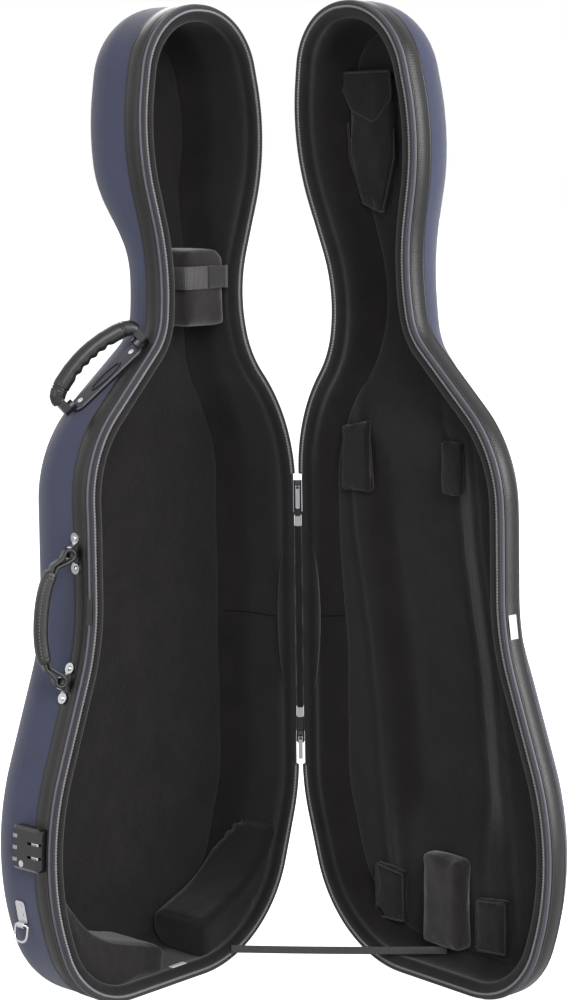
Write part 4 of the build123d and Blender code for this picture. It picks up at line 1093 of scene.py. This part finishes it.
class CELLO_OT_hardware(bpy.types.Operator):
    """Finishes the shells and the metal and plastic fittings"""
    bl_idname = "cello.hardware"
    bl_label = "Shells and fittings"

    FINISHES = {
        "navy_cloth": ("base_shell", "lid_shell"),
        "satin_metal": ("handle_plate", "zip_sliders"),
        "chrome": ("handle_screws", "side_staples", "side_rivets", "lock_bars", "lock_cylinder",
                   "d_ring_plate", "d_ring"),
        "steel": ("handle_pins", "lock_dial_1", "lock_dial_2", "lock_dial_3", "hinge_leaf_base",
                  "hinge_leaf_lid", "hinge_pin", "hinge_blocks", "zip_pull_lower", "zip_pull_upper"),
        "black_grip": ("handle_caps", ),
        "lock_black": ("lock_body", ),
        "spine_black": ("spine_cover", ),
        "zip_cloth": ("zip_bars", ),
    }

    def execute(self, context):
        for material, nodes in self.FINISHES.items():
            for node in nodes:
                for entry in NODES[node].material_slots:
                    entry.material = MATERIALS[material]
        return {"FINISHED"}


CAMERA_AZIMUTH = math.radians(42.95)
CAMERA_DIP = math.radians(7.99)
CAMERA_ROLL = math.radians(-0.76)
CAMERA_REACH = 3.5
CAMERA_LENS = 89.13
CAMERA_HEIGHT = 0.6441      # of the point looked at, in metres
CAMERA_SHIFT = 0.020        # of that point to the left of the hinge, in metres
ROOM_LIGHT = 0.32           # strength of the world's light on the case
LAMP_AIM = (-0.1, -0.1, 0.7)


class CELLO_OT_stage(bpy.types.Operator):
    """Adds the floor, the lamps and the camera"""
    bl_idname = "cello.stage"
    bl_label = "Stage"

    def execute(self, context):
        scene = context.scene
        self.floor()
        self.world(scene)
        self.camera(scene)
        self.lamp("lamp_front", (-2.2, -3.8, 3.0), 130.0, 2.6)
        self.lamp("lamp_left", (-4.2, 0.2, 1.8), 38.0, 2.2)
        self.lamp("lamp_right", (1.2, -4.2, 1.8), 140.0, 2.2)
        self.lamp("lamp_back", (1.8, 2.6, 3.0), 60.0, 2.2)
        scene.view_settings.view_transform = "Standard"
        return {"FINISHED"}

    @staticmethod
    def floor():
        bm = bmesh.new()
        bmesh.ops.create_grid(bm, x_segments=1, y_segments=1, size=30.0)
        ground = new_piece("floor", bm, smooth=False)
        material, tree, shader = start_material("white_sweep", {
            "Roughness": 0.9, "Base Color": linear("#f2f2f2"), "Emission Color": (1, 1, 1, 1)})
        path = add_node(tree, "ShaderNodeLightPath")
        tree.links.new(path.outputs["Is Camera Ray"], shader.inputs["Emission Strength"])
        ground.data.materials.append(material)

    @staticmethod
    def world(scene):
        world = bpy.data.worlds.new("soft_room")
        world.use_nodes = True
        scene.world = world
        tree = world.node_tree
        shade = tree.nodes["Background"]
        path = add_node(tree, "ShaderNodeLightPath")
        seen = add_node(tree, MATH, {"operation": "MAXIMUM"},
                        {0: path.outputs["Is Camera Ray"], 1: path.outputs["Is Glossy Ray"]})
        shade.inputs["Color"].default_value = (1, 1, 1, 1)
        strength = add_node(tree, "ShaderNodeMapRange", None,
                            {"Value": seen.outputs[0], "To Min": ROOM_LIGHT, "To Max": 1.0})
        tree.links.new(strength.outputs[0], shade.inputs["Strength"])

    @staticmethod
    def camera(scene):
        ahead = Vector((math.cos(CAMERA_AZIMUTH) * math.cos(CAMERA_DIP),
                        math.sin(CAMERA_AZIMUTH) * math.cos(CAMERA_DIP), -math.sin(CAMERA_DIP)))
        right = Vector((math.sin(CAMERA_AZIMUTH), -math.cos(CAMERA_AZIMUTH), 0))
        up = right.cross(ahead)
        turned_right = right * math.cos(CAMERA_ROLL) + up * math.sin(CAMERA_ROLL)
        turned_up = up * math.cos(CAMERA_ROLL) - right * math.sin(CAMERA_ROLL)
        target = Vector((0, 0, CAMERA_HEIGHT)) - right * CAMERA_SHIFT
        data = bpy.data.cameras.new("camera")
        data.lens = CAMERA_LENS
        data.clip_end = 60.0
        camera = bpy.data.objects.new("camera", data)
        axes = Matrix((turned_right, turned_up, -ahead)).transposed().to_4x4()
        camera.matrix_world = Matrix.Translation(target - ahead * CAMERA_REACH) @ axes
        scene.collection.objects.link(camera)
        scene.camera = camera

    @staticmethod
    def lamp(name, place, power, size):
        data = bpy.data.lights.new(name, "AREA")
        data.energy = power
        data.shape = "SQUARE"
        data.size = size
        lamp = bpy.data.objects.new(name, data)
        lamp.location = place
        aim = Vector(LAMP_AIM) - Vector(place)
        lamp.rotation_euler = aim.to_track_quat("-Z", "Y").to_euler()
        bpy.context.scene.collection.objects.link(lamp)


class CELLO_PT_panel(bpy.types.Panel):
    """Lists the case's settings and steps"""
    bl_idname = "CELLO_PT_panel"
    bl_label = "Cello case"
    bl_space_type = "VIEW_3D"
    bl_region_type = "UI"
    bl_category = "Cello case"

    def draw(self, context):
        values = context.scene.cello_case
        for key in values.bl_rna.properties.keys():
            if key not in ("rna_type", "name"):
                self.layout.prop(values, key)
        for step in STEPS:
            self.layout.operator(step.bl_idname)


STEPS = (CELLO_OT_hardware, CELLO_OT_trim, CELLO_OT_lining, CELLO_OT_padding, CELLO_OT_neck_strap,
         CELLO_OT_lid_fittings, CELLO_OT_carrying_handle, CELLO_OT_side_handle, CELLO_OT_labels,
         CELLO_OT_check_strap, CELLO_OT_spine_cloth, CELLO_OT_stage)
CLASSES = (CelloCaseSettings, ) + STEPS + (CELLO_PT_panel, )


def register():
    for made in CLASSES:
        bpy.utils.register_class(made)
    bpy.types.Scene.cello_case = bpy.props.PointerProperty(type=CelloCaseSettings)


def unregister():
    del bpy.types.Scene.cello_case
    for made in reversed(CLASSES):
        bpy.utils.unregister_class(made)


def main():
    register()
    make_materials()
    bpy.ops.cello.hardware()
    bpy.ops.cello.trim()
    bpy.ops.cello.lining()
    bpy.ops.cello.padding()
    bpy.ops.cello.neck_strap()
    bpy.ops.cello.lid_fittings()
    bpy.ops.cello.carrying_handle()
    bpy.ops.cello.side_handle()
    bpy.ops.cello.labels()
    bpy.ops.cello.check_strap()
    bpy.ops.cello.spine_cloth()
    bpy.ops.cello.stage()


if __name__ == "__main__":
    main()
